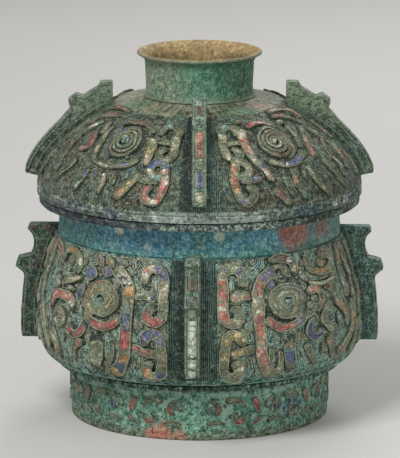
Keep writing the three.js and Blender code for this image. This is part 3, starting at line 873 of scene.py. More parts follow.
def contour_lines(finish, colour, light, dark, edge, strip_edge):
    """The fine cast ground: pale lines that follow the relief, and upright ones beside the flange, with painted
    light and shade in the strip beside the flange and a painted shadow round the foot of each form.
    """
    away, across, beside = (finish.attribute(name) for name in ("away", "across", "beside"))
    bears = finish.attribute("bears").between(0.6, 0.9)
    drift = finish.noise(2.6, 2, 0.5, 0.044)
    patch = finish.noise(17, 4, 0.6, 0.027)
    ring = finish.wave(away.shaken(drift, 0.9) * (1 / GROUND_PITCH))
    upright = finish.wave(across.shaken(drift, 1.4) * (1 / STRIP_PITCH))
    broken = finish.noise(2.2, 3, 0.8, 0.051).between(0.40, 0.50)
    strip = beside.between(strip_edge + 0.15, strip_edge - 0.15)
    line = finish.blend(strip, ring.between(-0.15, 0.65), upright.between(0.1, 0.8) * broken * 0.5)
    worn = finish.noise(6, 4, 0.7, 0.066).between(0.36, 0.52)
    ground = finish.mix(patch.between(0.40, 0.60), dark, colour)
    # Painted shade low on the lid's right side, away from the key light.
    lid_right_painted_shade = finish.z.between(160, 168) * finish.x.between(6, 20) * finish.x.between(96, 70)
    ground = finish.mix(lid_right_painted_shade * 0.4, ground, dark)
    stain = finish.noise(9, 4, 0.7, 0.083)
    ground = finish.mix(stain.between(0.55, 0.60) * 0.6, ground, tint(54, 88, 104))
    ground = finish.mix(stain.between(0.45, 0.40) * 0.5, ground, tint(98, 78, 60))
    ground = finish.mix(finish.x.between(-46, -88) * 0.6, ground, tint(66, 50, 42))
    ground = finish.mix(line * (0.25 + worn * 0.75), ground,
                        finish.mix(patch.between(0.44, 0.56), edge, light))
    foot_line = away.between(1.3, 0.9) * away.between(0.2, 0.5)
    ground = finish.mix(foot_line * (1 - strip) * worn * 0.7, ground, edge)
    # Painted light and shade in the strip beside each flange: its ground is dark, partly patina and partly painted
    # shade of the deep recess; on the left its lines darken towards the flange and the lid's left strip is darker
    # still, on the right its lines are painted lighter.
    away_from = across.shaken(drift, 3)
    shaded_near_flange = finish.mix(away_from.between(8, 14), tint(22, 50, 44), tint(76, 126, 110))
    strip_lines_shaded_and_lit = finish.mix(finish.x.between(-2, 2), shaded_near_flange, tint(110, 150, 136))
    hollow = finish.mix(finish.x.between(-2, 2), tint(6, 20, 17), tint(26, 44, 40))
    shaded_left_of_lid = finish.z.between(150, 185) * finish.x.between(2, -2)
    ground = finish.mix(strip * 0.92, ground,
                        finish.mix(line * (1.6 - shaded_left_of_lid * 1.1), hollow, strip_lines_shaded_and_lit))
    shadow = away.between(0.55, 0.0)
    ground = finish.mix(shadow * 0.7, ground, BLACKISH)
    return finish.mix(bears, colour, ground), line * bears, strip * bears


def relief_patina(name, low, middle, top, pale=(tint(196, 190, 152), tint(160, 182, 154))):
    """Patina for cast relief: dark in the hollows, as patina and partly as painted shade, paler and worn on the
    tops.
    """
    finish = Finish(name)
    lift, shade = finish.attribute("lift"), finish.attribute("shade")
    drift = finish.noise(16, 4, 0.65, 0.04)
    grain = finish.noise(1.1, 3, 0.7, 0.012)
    speck = finish.noise(0.6, 2, 0.6, 0.033)
    colour = finish.mix((drift + shade * 0.3).between(0.52, 0.76), middle, top)
    # Darker towards each form's foot: dark patina in the hollows, and partly painted shade of the grooves.
    colour = finish.mix(lift.between(0.62, 0.12), colour, low)
    worn = lift.shaken(grain, 1.4).between(0.84, 1.10)
    colour = finish.mix(worn * 0.8, colour, finish.mix(drift.between(0.42, 0.6), pale[0], pale[1]))
    colour = finish.mix(grain.between(0.45, 0.34) * 0.85, colour, low)
    colour = overgrown(finish, finish.mix(speck.between(0.58, 0.66) * 0.6, colour, WHITISH))
    return finish.made(colour, 0.85 - grain * 0.45, 0.2, grain * 0.7 + speck * 0.3, 0.4)


def stone(name, base, deep, pale, odd=None, stain=0.4, rough=0.45, chip=2.5, spread=0.9):
    """A mosaic of small chips: each with a tone of its own, some of another colour, with dark joints, and stained
    and crusted by the bronze. A large stone has few chips and little of all this."""
    finish = Finish(name)
    lift = finish.attribute("lift")
    tone, other = finish.chips(chip, "X"), finish.chips(chip, "Y")
    mottle = finish.noise(3.2, 4, 0.65, 0.015) * 0.5 + finish.noise(0.8, 3, 0.6, 0.041) * 0.5
    tone = (tone - 0.5) * spread + 0.5 + (mottle - 0.5) * 1.6
    colour = finish.mix(tone.between(0.45, 0.12), base, deep)
    colour = finish.mix(tone.between(0.58, 0.88) * 0.9, colour, pale)
    if odd:
        colour = finish.mix(other.between(0.60, 0.66) * 0.85, colour, odd)
    joint = finish.cracks(chip).between(0.10, 0.02)
    colour = finish.mix(joint * 0.6, colour, tint(58, 70, 56))
    edge = lift.shaken(mottle, 0.8).between(0.97, 0.66)
    crusted = finish.noise(4.4, 4, 0.7, 0.08).between(0.62 - stain * 0.14, 0.72 - stain * 0.14) * stain
    green = (edge * 0.7).most(crusted * 1.2)
    grey = finish.mix(mottle.between(0.42, 0.58), tint(62, 84, 68), tint(142, 146, 116))
    colour = finish.mix(green, colour, grey)
    colour = finish.mix(finish.noise(0.8, 2, 0.7, 0.09).between(0.58, 0.66) * 0.5, colour, WHITISH)
    if odd:
        colour = overgrown(finish, colour, 0.5)
    height = mottle * 0.7 + other * 0.5 - joint * 0.5
    return finish.made(colour, rough + green * 0.3, 0.0, height, 0.3, coat=0.1)


def flange_patina(name, base, second, pale, specks, above=None):
    """Bright, scabby patina of the flanges."""
    finish = Finish(name)
    drift = finish.noise(13, 4, 0.7, 0.06)
    colour = finish.mix(drift.between(0.43, 0.57), base, second)
    colour = finish.mix(finish.noise(8, 4, 0.7, 0.037).between(0.56, 0.61) * 0.75, colour, specks)
    if above:
        colour = finish.mix(finish.z.shaken(drift, 40).between(204, 222) * 0.8, colour, above)
    colour = mottled(finish, colour, 5, BLACKISH, pale, 0.45)
    scab = finish.noise(3.4, 3, 0.65, 0.02)
    colour = finish.mix(scab.between(0.60, 0.68) * 0.8, colour, specks)
    colour, tone = crust(finish, colour, pale, BLACKISH, 0.9)
    return finish.made(colour, 0.9 - tone * 0.5, 0.15, tone + scab * 0.5, 0.4)


# The castings, turned about the upright axis

def turned(node, outline, steps, body, finishes, inner, ground=None):
    """Draws an outline of (radius, level) points vertex by vertex and spins it round the upright axis."""
    bpy.ops.mesh.primitive_plane_add(size=MM)
    piece = bpy.context.object
    piece.name = piece.data.name = node + "_casting"
    bpy.ops.object.mode_set(mode="EDIT")
    bpy.ops.mesh.select_all(action="SELECT")
    bpy.ops.mesh.merge(type="CENTER")
    bpy.ops.transform.translate(value=(outline[0][0] * MM, 0, outline[0][1] * MM))
    for (r0, z0), (r1, z1) in zip(outline, outline[1:]):
        bpy.ops.mesh.extrude_vertices_move(TRANSFORM_OT_translate={"value": ((r1 - r0) * MM, 0,
                                                                             (z1 - z0) * MM)})
    bpy.ops.mesh.select_all(action="SELECT")
    bpy.ops.mesh.spin(steps=steps, angle=2 * math.pi, center=(0, 0, 0), axis=(0, 0, 1), use_auto_merge=True)
    bpy.ops.mesh.select_all(action="SELECT")
    bpy.ops.mesh.remove_doubles(threshold=0.02 * MM)
    bpy.ops.mesh.dissolve_degenerate(threshold=0.005 * MM)
    bpy.ops.mesh.select_all(action="SELECT")
    bpy.ops.mesh.normals_make_consistent(inside=False)
    bpy.ops.object.mode_set(mode="OBJECT")
    wear = bpy.data.textures.new(node + "_wear", "CLOUDS")
    wear.noise_scale = WEAR_SIZE
    wear.noise_depth = 3
    worn = piece.modifiers.new("wear", "DISPLACE")
    worn.texture = wear
    worn.texture_coords = "LOCAL"
    worn.strength = WEAR_DEPTH
    worn.mid_level = 1.0
    bpy.ops.object.modifier_apply(modifier="wear")
    if ground:
        ground.mark(piece)
    for finish in finishes:
        piece.data.materials.append(finish)
    for face in piece.data.polygons:
        middle, normal = face.center / MM, face.normal
        reach = math.hypot(middle.x, middle.y) or 1
        out = (normal.x * middle.x + normal.y * middle.y) / reach
        face.material_index = int(inner(reach, middle.z, out, normal.z))
    smooth_by_angle(piece, 32)
    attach(piece, body)
    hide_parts(node)


def stepped(radius_at, low, high, step):
    """(radius, level) points along a wall."""
    count = max(2, math.ceil(abs(high - low) / step))
    return [(radius_at(low + (high - low) * k / count), low + (high - low) * k / count)
            for k in range(count + 1)]


def rounded(corner, before, after, radius, steps=3):
    """A corner of an outline, rounded between its neighbours."""
    corner, before, after = Vector(corner), Vector(before), Vector(after)
    start = corner + (before - corner).normalized() * radius
    end = corner + (after - corner).normalized() * radius
    return [tuple(start.lerp(corner, t).lerp(corner.lerp(end, t), t))
            for t in (k / steps for k in range(steps + 1))]


def bowl_outline():
    base = FOOT_TOP + GAP
    hollow_radius = BODY_RADIUS - BOWL_WALL
    hollow = []
    for k in range(1, 25):
        share = math.sin(QUARTER_TURN * k / 24)
        reach = (1 - share**3) ** (1 / 3)
        hollow.append((FLOOR_RADIUS + (hollow_radius - FLOOR_RADIUS) * reach,
                       BELLY_LEVEL - (BELLY_LEVEL - FLOOR_LEVEL) * share))
    return (
        [(0, base - FLOOR_SINK), (FLOOR_RADIUS, base - FLOOR_SINK), (FOOT_RADIUS - FOOT_WALL - 0.6, base),
         (BASE_RADIUS, base)]
        + rounded((MOULDING_RADIUS, base), (BASE_RADIUS, base), (MOULDING_RADIUS, MOULDING_LEVEL), 2.4)
        + [(MOULDING_RADIUS, MOULDING_LEVEL - 1.3), (MOULDING_RADIUS - 0.9, MOULDING_LEVEL - 0.5)]
        + stepped(bowl_radius, MOULDING_LEVEL, BELLY_LEVEL, 1.2)
        + stepped(bowl_radius, BELLY_LEVEL, NECK_LINE_LEVEL - 0.7, 1.3)[1:]
        + [(NECK_LINE_RADIUS - 0.3, NECK_LINE_LEVEL), (NECK_LINE_RADIUS - 1.6, NECK_LINE_LEVEL + 0.3)]
        + stepped(bowl_radius, NECK_LINE_LEVEL + 1, NECK_LEVEL, 1.5)
        + stepped(bowl_radius, NECK_LEVEL, LIP_LOW - 1.4, 1.2)[1:]
        + [(NECK_RADIUS + COVE_REACH + 0.8, LIP_LOW - 0.4), (LIP_RADIUS - 3, LIP_LOW - 0.1)]
        + rounded((LIP_RADIUS, LIP_LOW), (LIP_RADIUS - 3, LIP_LOW), (LIP_RADIUS, MOUTH_LEVEL), 1.3)
        + rounded((LIP_RADIUS, MOUTH_LEVEL), (LIP_RADIUS, LIP_LOW), (MOUTH_RADIUS, MOUTH_LEVEL), 0.7)
        + rounded((MOUTH_RADIUS, MOUTH_LEVEL), (LIP_RADIUS, MOUTH_LEVEL), (MOUTH_RADIUS, NECK_LEVEL), 0.8)
        + [(MOUTH_RADIUS, NECK_LEVEL)]
        + stepped(lambda z: bowl_radius(z) - BOWL_WALL, NECK_LINE_LEVEL, BELLY_LEVEL, 3)
        + hollow
        + [(0, FLOOR_LEVEL)]
    )


def lid_outline():
    spigot_inner = SPIGOT_RADIUS - SPIGOT_WALL
    spigot_low = LID_LOW - SPIGOT_DEPTH
    rows = [LID_LINE.down[-1] * k / 66 for k in range(67)]
    inside = []
    for s in rows[::3]:
        (r, z), (out_r, out_z) = LID_LINE.at(s), LID_LINE.outward(s)
        if z - out_z * LID_WALL > LID_LOW + LID_RIM + LID_WALL:
            inside.append((float(r - out_r * LID_WALL), float(z - out_z * LID_WALL)))
    dish = SEAT_LEVEL - CROWN_LAND_STEP
    slope = [(COLLAR_RADIUS - 2.4 - (COLLAR_RADIUS - 3.4 - SEAT_RADIUS) * t, DOME_TOP + 1.2 + 3.4 * t**1.3)
             for t in (k / 8 for k in range(9))]
    return (
        [(0, dish - LID_WALL)]
        + inside
        + [(BODY_RADIUS - 2 * LID_WALL, LID_LOW + LID_RIM), (spigot_inner, LID_LOW + LID_RIM)]
        + rounded((spigot_inner, spigot_low), (spigot_inner, LID_LOW), (SPIGOT_RADIUS, spigot_low), 0.8)
        + rounded((SPIGOT_RADIUS, spigot_low), (spigot_inner, spigot_low), (SPIGOT_RADIUS, LID_LOW), 0.8)
        + [(SPIGOT_RADIUS, LID_LOW), (LID_SEAT_RADIUS, LID_LOW)]
        + rounded((BODY_RADIUS, LID_LOW), (LID_SEAT_RADIUS, LID_LOW), (BODY_RADIUS, DOME_LOW), 1)
        + [(BODY_RADIUS, DOME_LOW - 2.2), (BODY_RADIUS - 0.6, DOME_LOW - 1.4),
           (BODY_RADIUS, DOME_LOW - 0.6)]
        + [tuple(float(v) for v in LID_LINE.at(s)) for s in reversed(rows)]
        + [(COLLAR_RADIUS - 1.0, DOME_TOP + 0.8)]
        + slope
        + [(SEAT_RADIUS, SEAT_LEVEL), (CROWN_LAND, SEAT_LEVEL),
           (CROWN_LAND - CROWN_LAND_STEP, dish), (0, dish)]
    )


def crown_outline():
    neck = CROWN_RADIUS + 0.6
    flare_low = CROWN_TOP - CROWN_FLARE_HEIGHT
    reach = CROWN_RIM - neck
    outer = [(neck + reach * t * t, flare_low + (CROWN_FLARE_HEIGHT - 2.2) * t)
             for t in (k / 8 for k in range(9))]
    inner = [(neck - CROWN_WALL + (reach - 0.4) * t * t, flare_low + (CROWN_FLARE_HEIGHT - 0.6) * t)
             for t in (k / 8 for k in range(9))]
    return (
        [(CROWN_LAND, CROWN_LOW), (SEAT_RADIUS, CROWN_LOW), (SEAT_RADIUS - 1, CROWN_LOW + 1),
         (CROWN_RADIUS + 0.1, CROWN_LOW + 3), (CROWN_RADIUS, CROWN_LOW + 8),
         (CROWN_RADIUS + 0.3, CROWN_LOW + 16)]
        + outer
        + [(CROWN_RIM, CROWN_TOP - 1.2), (CROWN_RIM - 0.5, CROWN_TOP - 0.2), (CROWN_RIM - 1.6, CROWN_TOP)]
        + list(reversed(inner))
        + [(CROWN_LAND + 0.4, CROWN_LOW + 10), (CROWN_LAND, CROWN_LOW + 1), (CROWN_LAND, CROWN_LOW)]
    )


def foot_outline():
    inner = FOOT_RADIUS - FOOT_WALL
    return (
        rounded((inner, 0), (inner, FOOT_TOP), (FOOT_RADIUS, 0), 1)
        + rounded((FOOT_RADIUS, 0), (inner, 0), (FOOT_RADIUS, FOOT_TOP), 1.4)
        + [(FOOT_RADIUS, z) for z in range(3, int(FOOT_TOP), 2)]
        + [(FOOT_RADIUS, FOOT_TOP), (inner, FOOT_TOP)]
        + [(inner, z) for z in range(int(FOOT_TOP) - 2, 2, -4)]
        + [(inner, 1)]
    )


# Flanges

def bowl_flange_spot(along, out):
    r, z = BOWL_LINE.at(along)
    return float(r + out), float(z)


def lid_flange_spot(along, out):
    """Upright beside the collar, and square with the dome further down."""
    t = min(1, max(0, along / LID_FLANGE_UPRIGHT))
    lean = t * t * (3 - 2 * t)
    (r, z), (out_r, out_z) = LID_LINE.at(along), LID_LINE.outward(along)
    lift = Vector((out_r * lean, 1 - lean + out_z * lean)).normalized() * out
    return float(r + lift.x), float(z + lift.y)


def edge_line(spot, edge, turn):
    downs = np.linspace(edge[0][0], edge[-1][0], 400)
    outs = np.interp(downs, *zip(*edge))
    radii, levels = zip(*(spot(s, h) for s, h in zip(downs, outs)))
    wall = Wall(radii, levels, downs, turn)
    wall.per_degree = lambda down: 1.0 + 0.0 * down
    return wall


def flange(name, spot, edge, thickness, cells):
    """A flange standing out along X: an outline filled, given its thickness, recessed for its stones and
    bevelled, with edges as uneven as old castings have."""
    rng = random.Random(name)
    cells = [(low, top) for stones in cells.values() for _, low, top in stones]
    marks = sorted({s for s, _ in edge} | {s for pair in cells for s in pair})
    rows = []
    for a, b in zip(marks, marks[1:]):
        count = max(1, round((b - a) / FLANGE_STEP))
        rows += [a + (b - a) * k / count for k in range(count)]
    rows.append(marks[-1])
    outline = [spot(s, float(np.interp(s, *zip(*edge))) - rng.uniform(0, FLANGE_WEAR)) for s in rows]
    outline += [spot(float(s), FLANGE_ROOT) for s in np.linspace(rows[-1], rows[0], 30)]
    bpy.ops.mesh.primitive_circle_add(vertices=len(outline), radius=0.05, fill_type="NGON")
    piece = bpy.context.object
    piece.name = piece.data.name = name
    for vertex, (r, z) in zip(piece.data.vertices, outline):
        vertex.co = (r * MM, -thickness / 2 * MM, z * MM)
    bpy.ops.object.mode_set(mode="EDIT")
    bpy.ops.mesh.select_all(action="SELECT")
    bpy.ops.mesh.extrude_region_move(TRANSFORM_OT_translate={"value": (0, thickness * MM, 0)})
    bpy.ops.mesh.select_all(action="SELECT")
    bpy.ops.mesh.normals_make_consistent(inside=False)
    for low, top in cells:
        middles = [spot(s, float(np.interp(s, *zip(*edge)))) for s in np.linspace(low + 0.5, top - 0.5, 60)]
        choose(piece, lambda face: abs(face.normal.y) < 0.3 and any(
            math.hypot(face.center.x / MM - r, face.center.z / MM - z) < 0.55 for r, z in middles))
        bpy.ops.mesh.inset(thickness=(thickness - STONE_WIDTH) / 2 * 0.8 * MM, depth=-STONE_CELL_DEPTH * MM)
    bpy.ops.object.mode_set(mode="OBJECT")
    bevel = piece.modifiers.new("worn_edges", "BEVEL")
    bevel.width = FLANGE_BEVEL * MM
    bevel.segments = 2
    bevel.limit_method = "ANGLE"
    bevel.angle_limit = math.radians(38)
    bpy.ops.object.modifier_apply(modifier="worn_edges")
    return piece


def choose(piece, wanted):
    """Selects a piece's faces by a test, in edit mode."""
    bpy.ops.mesh.select_all(action="DESELECT")
    bpy.ops.object.mode_set(mode="OBJECT")
    for face in piece.data.polygons:
        face.select = bool(wanted(face))
    bpy.ops.object.mode_set(mode="EDIT")


def dress_flanges(owner, body, spot, edge, thickness, cells, finishes):
    """Four flanges with the lines cast on their sides and the stones set in their edges."""
    turn = LID_TURN if owner == "lid" else 0
    line = edge_line(spot, edge, turn)
    lines, rims = Relief(), Relief()
    border = [(max(1.2, float(np.interp(s, *zip(*edge))) - 1.9), s)
              for s in np.arange(edge[0][0] + 1.6, edge[-1][0] - 1.4, 0.8)]
    root = [(2.6, s) for s in np.arange(edge[0][0] + 1.6, edge[-1][0] - 1.4, 1.2)]
    for k, facing in enumerate(("front", "right", "back", "left")):
        name = f"{owner}_flange_{facing}"
        piece = flange(name + "_casting", spot, edge, thickness, cells)
        piece.data.transform(Matrix.Rotation(math.radians(turn + 90 * k - 90), 4, "Z"))
        piece.data.materials.append(finishes[k])
        smooth_by_angle(piece, 30)
        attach(piece, body)
        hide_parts(name)
        rng = random.Random(name)
        place = FlangeEdge(line, 90 * k)
        for side in (1, -1):
            rim = Track(line, [(side * (thickness / 2 - 0.85), s)
                               for s in (edge[0][0] + 0.6, edge[-1][0] - 0.6)])
            rims.sweep(place, rim, [(-0.5, -0.4), (-0.25, 0.25), (0.25, 0.25), (0.5, -0.4)], 0, rim.length,
                       (0.6, 0.6),
                       "bronze", rng.random(), step=1.0)
            face = FlangeSide(spot, thickness / 2, 90 * k, turn, side)
            for path in (border, root):
                track = Track(face, path)
                section = [(-0.75, -0.4), (-0.4, 0.45), (0.4, 0.45), (0.75, -0.4)]
                lines.sweep(face, track, section, 0, track.length, (0.8, 0.8), "bronze", rng.random())
        half = STONE_WIDTH / 2 - 0.1
        section = [(-half, -2.0), (-half, -0.25), (-half * 0.72, STONE_PROUD - 0.12), (0, STONE_PROUD),
                   (half * 0.72, STONE_PROUD - 0.12), (half, -0.25), (half, -2.0)]
        for cell, stones in cells.items():
            relief = Relief()
            for kind, low, high in stones:
                track = Track(line, [(0, low + 0.15), (0, high - 0.15)])
                ends = (1.0, 2.6) if cell == "jade_end" else (0.7, 0.7)
                relief.sweep(place, track, section, 0, track.length, ends, kind, rng.random(), step=1.0)
            piece = relief.build(f"{name}_{cell}_stone", FINISH, body, cell.split("_")[0], 50)
            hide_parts(f"{name}_{cell}")
    lines.build(f"{owner}_flange_lines", {"bronze": FINISH["flange_lines"]}, body, "flange_bronze")
    rims.build(f"{owner}_flange_rims", {"bronze": FINISH["flange_rims"]}, body, "flange_bronze")


# Scrollwork

def channel(half, height, border):
    """The section of a cast band: two borders with a bed between them."""
    bed = height - 0.7
    side = [(half, ROOT), (half, height - 0.35), (half - border * 0.3, height),
            (half - border * 0.8, height),
            (half - border, bed)]
    return [(-x, h) for x, h in side] + [(x, h) for x, h in reversed(side)]


def bar(half, height):
    """The section of a plain rounded band."""
    return [(-half, ROOT), (-half, height * 0.6), (-half * 0.55, height), (half * 0.55, height),
            (half, height * 0.6),
            (half, ROOT)]


def cabochon(half, low, high):
    """The section of a stone."""
    return [(-half, low), (-half, high - 0.3), (-half * 0.8, high - 0.04), (0, high),
            (half * 0.8, high - 0.04),
            (half, high - 0.3), (half, low)]


def lay_band(bronze, stones, place, path, width, height, colours, rng):
    """A band with its borders, and in its bed a mosaic that changes colour along it. Its width may be one number,
    or one for each end."""
    track = Track(place.wall, path)
    widths = width if isinstance(width, tuple) else (width, width)
    width = max(widths)
    taper = (widths[0] / width, widths[1] / width)
    half = width / 2
    if not colours:
        bronze.sweep(place, track, bar(half, height), 0, track.length, (half, half), "bronze", rng.random(),
                     taper=taper)
        return
    border = BORDER if width > 4 else FINE_BORDER
    bronze.sweep(place, track, channel(half, height, border), 0, track.length, (half, half), "bronze",
                 rng.random(),
                 taper=taper)
    kinds = colours.split()
    inset = half - border - 0.2
    first, last = border + 0.2, track.length - border - 0.2
    cuts = [first] + [
        first + (last - first) * k / len(kinds) + rng.uniform(-0.8, 0.8)
        for k in range(1, len(kinds)) if kinds[k] != kinds[k - 1]
    ] + [last]
    runs = [kind for k, kind in enumerate(kinds) if k == 0 or kind != kinds[k - 1]]
    for k, kind in enumerate(runs):
        top = height - (0.5 if kind == "crust" else 0.12)
        tips = (inset if k == 0 else 0, inset if k == len(runs) - 1 else 0)
        stones.sweep(place, track, cabochon(inset, height - 1.4, top), cuts[k], cuts[k + 1], tips, kind,
                     rng.random(),
                     step=1.6, top=top, taper=taper)


def lay_eye(bronze, stones, place, centre, radius, height, colours, rng, stretch=1.0):
    """The eye of the mask: a coiled band that rises towards a stone in its middle."""
    turns = (radius - 3.6) / EYE_PITCH
    path = curl(place.wall, centre, radius - 1.2, -70, 360 * turns, 2.4, stretch)
    track = Track(place.wall, path)
    kinds = colours.split()
    pieces = 2 * len(kinds)
    for k in range(pieces):
        start, end = track.length * k / pieces, track.length * (k + 1) / pieces
        rise = height + EYE_RISE * k / pieces
        side = [(1.25, ROOT), (1.25, rise - 0.4), (1.05, rise), (0.8, rise), (0.68, rise - 0.5)]
        section = [(-x, h) for x, h in side] + [(x, h) for x, h in reversed(side)]
        ends = (1.2 if k == 0 else 0, 1.2 if k == pieces - 1 else 0)
        bronze.sweep(place, track, section, max(0, start - 0.3), end, ends, "bronze", rng.random(),
                     step=1.2)
        stones.sweep(place, track, cabochon(0.64, rise - 0.9, rise - 0.2), start + 0.2, end, (0, 0),
                     kinds[k // 2],
                     rng.random(), step=1.4)
    stones.dome(place, centre, 2.0, 2.0 * stretch, height + 1.9, kinds[-1], rng.random())


def both_hands(near, own, far):
    """A mask's rows for the right hand and for the left, from its flange outwards."""
    hands = []
    for hand in (0, 1):
        shared = [[(*row[:-2], row[hand - 2]) for row in rows] for rows in (near, far)]
        hands.append(shared[0] + own[hand] + shared[1])
    return hands


def bowl_mask(wall):
    """The bowl's mask: rows of a name, a path, a width, a height, and the colours of the stones along it. The
    first and last rows are on both hands, with the right hand's colours before the left's."""
    def arc(*places, **more):
        return curl(wall, *places, **more)
    by_flange = [
        ("scroll_upper",
         arc((14.9, 14.6), 7.9, 180, -225, 6.0)[::-1] + [(10.6, 22), (10.6, 31)] + arc((13.9, 39.2), 6.3,
                                                                                       180, 290, 3.4),
         7.2, 3.2, "olive lilac cream olive cream coral coral pink pale coral pink cream olive crust",
         "cream pale cream lilac lilac cream pale cream olive crust red red red crust"),
        ("scroll_upper_arm", [(12.6, 26.9), (21.4, 26.9)], 5.8, 2.95, "pale pale cream coral",
         "lilac cream olive olive"),
        ("scroll_lower",
         arc((14.2, 58), 6.3, 180, -205, 5.2)[::-1] + [(10.6, 64), (10.6, 71)] + arc((14, 77), 6.6, 180,
                                                                                     290, 3.2),
         7.2, 3.2, "ochre ochre ochre ochre olive ochre crust brown cream crust cream olive",
         "lilac lapis lilac lilac brown brown crust lapis cream amber olive"),
        ("scroll_lower_arm", [(12.4, 66), (16, 64.6), (21.5, 62)], 5.6, 2.95, "ochre ochre olive",
         "brown red red"),
        ("brow",
         through((31.2, 9), (26.8, 15), (24, 22), (23.6, 30), (23.6, 50), (24, 66), (25.6, 76), (29.6, 84)),
         8.4, 2.7, "lilac lilac coral coral cream cream red coral pink pale pink pink brown olive",
         "olive speckle speckle amber olive turquoise lapis lilac red red crust amber lapis amber"),
        ("crescent", through((26.6, 41.4), (27.8, 46), (31, 49.6), (35, 50.2), (38.8, 47.8), (42.4, 42)),
         (6.4, 5.4), 2.5, "coral red coral red pink lilac brown", "olive red red red red brown olive"),
    ]
    right = [
        ("leaf", through((29.5, 3.6), (33.6, 2.4), (37.6, 3.2), (39.9, 8), (40.2, 14)), (4.2, 5.4), 2.4,
         "olive brown garnet speckle cream"),
        ("leaf_inner", through((30.4, 9.6), (33.4, 8), (35.8, 10.6), (35.2, 14.4)), 3.6, 2.1,
         "cream olive crust"),
        ("horn", through((46, 22.4), (52.5, 24.6), (60.4, 23.8)), (3.4, 2.2), 2.6, ""),
        ("ear",
         through((46.4, 3.8), (47.4, 10.6), (50.2, 15.4), (54.4, 17.4), (59, 16.4), (61.8, 11.6), (59.6, 6),
                 (55, 4.4)),
         (4.6, 5.8), 2.6, "olive olive amber amber cream cream olive brown"),
        ("temple", through((69.4, 1.8), (68.2, 9), (67.2, 16.5), (66.8, 24), (67.8, 32), (68.8, 39.6)),
         (5.6, 4.6), 2.4, "lilac coral coral crust lilac turquoise cream lilac olive"),
        ("edge_line", through((72.6, 8), (72.8, 17), (73.6, 28), (73.8, 37), (71.6, 42.6)), (3.6, 4.6),
         2.4, "olive cream cream amber olive cream"),
        ("cheek_ring", arc((47.9, 33.6), 6.6, 150, -320, stretch=0.95), 5.6, 2.6,
         "pink pink pink garnet amber brown crust olive"),
        ("cheek_red", through((54, 26.8), (57, 29.8), (58.8, 34)), (5, 3.6), 2.4, "garnet amber crust"),
        ("cheek_amber", through((58.8, 38.4), (62.6, 44.2), (65.4, 52), (66.2, 60)), (6.4, 4), 2.5,
         "cream amber amber olive turquoise"),
        ("c_form", through((57, 40.4), (53, 42.6), (51.2, 48), (53, 55), (57.2, 58.8)), 5.4, 2.5,
         "olive cream olive crust olive cream"),
        ("outer", through((70.4, 45.2), (71.2, 54), (69.2, 63.6), (64.6, 71), (59.6, 75.6)), (5.4, 5),
         2.4, "olive amber cream olive brown amber"),
        ("lapis_curl",
         through((47, 48.4), (43.8, 51), (43.2, 56), (45.4, 60.4), (48.6, 59.4), (49.2, 55)), (5.6, 4.6),
         2.5, "turquoise lapis lapis lapis lapis"),
        ("claw", through((42.4, 64.4), (43.8, 70), (46.2, 79.6)), (5.8, 3.2), 2.4, "olive crust brown"),
        ("tongue", through((35, 60), (35, 66), (35.3, 72), (36, 79.4)), (9.6, 8.4), 2.5,
         "amber turquoise lapis lapis lapis crust"),
        ("claw_small", through((52.4, 62.8), (54.6, 68.6), (56.6, 77.6)), (5.4, 2.6), 2.3,
         "coral olive brown"),
        ("u_form", through((27.9, 64), (27.4, 71), (28, 77), (30.2, 80.6), (31.6, 75), (31.2, 66.5)),
         3.6, 2.2, "olive crust olive cream olive crust"),
    ]
    left = [
        ("hook",
         through((62.2, 11.2), (64.6, 6.6), (67.4, 3.6), (70.4, 3.6), (72.2, 7.4), (71.8, 13), (71.4, 19)),
         4.8, 2.5, "red red crust red red crust olive"),
        ("edge_line", through((72.4, 21), (73.4, 28), (74, 35), (72.8, 42)), (4, 4.8), 2.4,
         "cream olive lilac lilac"),
        ("edge_red", through((71.2, 46), (70, 53), (68.6, 61), (66.4, 69), (62.6, 76)), (5.2, 3.6), 2.4,
         "garnet garnet crust brown olive"),
        ("ear", through((59.4, 12.6), (59.6, 6.6), (56, 3.8), (51.2, 5.6), (48.6, 11), (49.8, 18)),
         (4.6, 6), 2.6, "olive cream amber olive cream crust"),
        ("tip", through((57.4, 25), (51, 23.4), (46.4, 20.4)), (5.6, 3.6), 2.5,
         "olive cream ochre cream"),
        ("tip_low", through((53.4, 29), (48.8, 30.2)), (3.8, 2.6), 2.2, "pale cream"),
        ("cheek", through((61.4, 22.8), (60.2, 28), (59.6, 32)), (4.2, 5.4), 2.4, "pink pink"),
        ("cheek_arch",
         through((62.6, 45.4), (61, 39.2), (57.6, 35.8), (53.2, 35.6), (49.8, 38), (48.2, 43)),
         (6.2, 7.6), 2.7, "red pink red pink pink pale"),
        ("cheek_curl", arc((55.8, 51), 6.6, 75, 280, 5.4, stretch=0.8), 4.6, 2.5,
         "cream amber cream olive crust cream"),
        ("claw_outer", through((61, 60.6), (59.6, 66), (57.8, 72), (56.6, 78)), (8.6, 3.6), 2.5,
         "olive cream olive brown"),
        ("red_curl", through((41.6, 51.6), (42.6, 56), (45.2, 60), (48.2, 58.6), (48.6, 54.8)), 6.0, 2.5,
         "red red red crust red"),
        ("claw", through((42.2, 64), (44.6, 66), (46.8, 71.4), (46.8, 79)), (5.4, 2.8), 2.3,
         "pink brown crust turquoise"),
        ("rib_wide", through((35.6, 60.8), (35.8, 69), (36.6, 80.4)), (11.4, 12.4), 2.5,
         "olive brown olive cream olive"),
        ("rib_inner", through((29.3, 61.5), (29.3, 69), (30.6, 79)), (4.6, 3.4), 2.2,
         "lapis crust turquoise"),
    ]
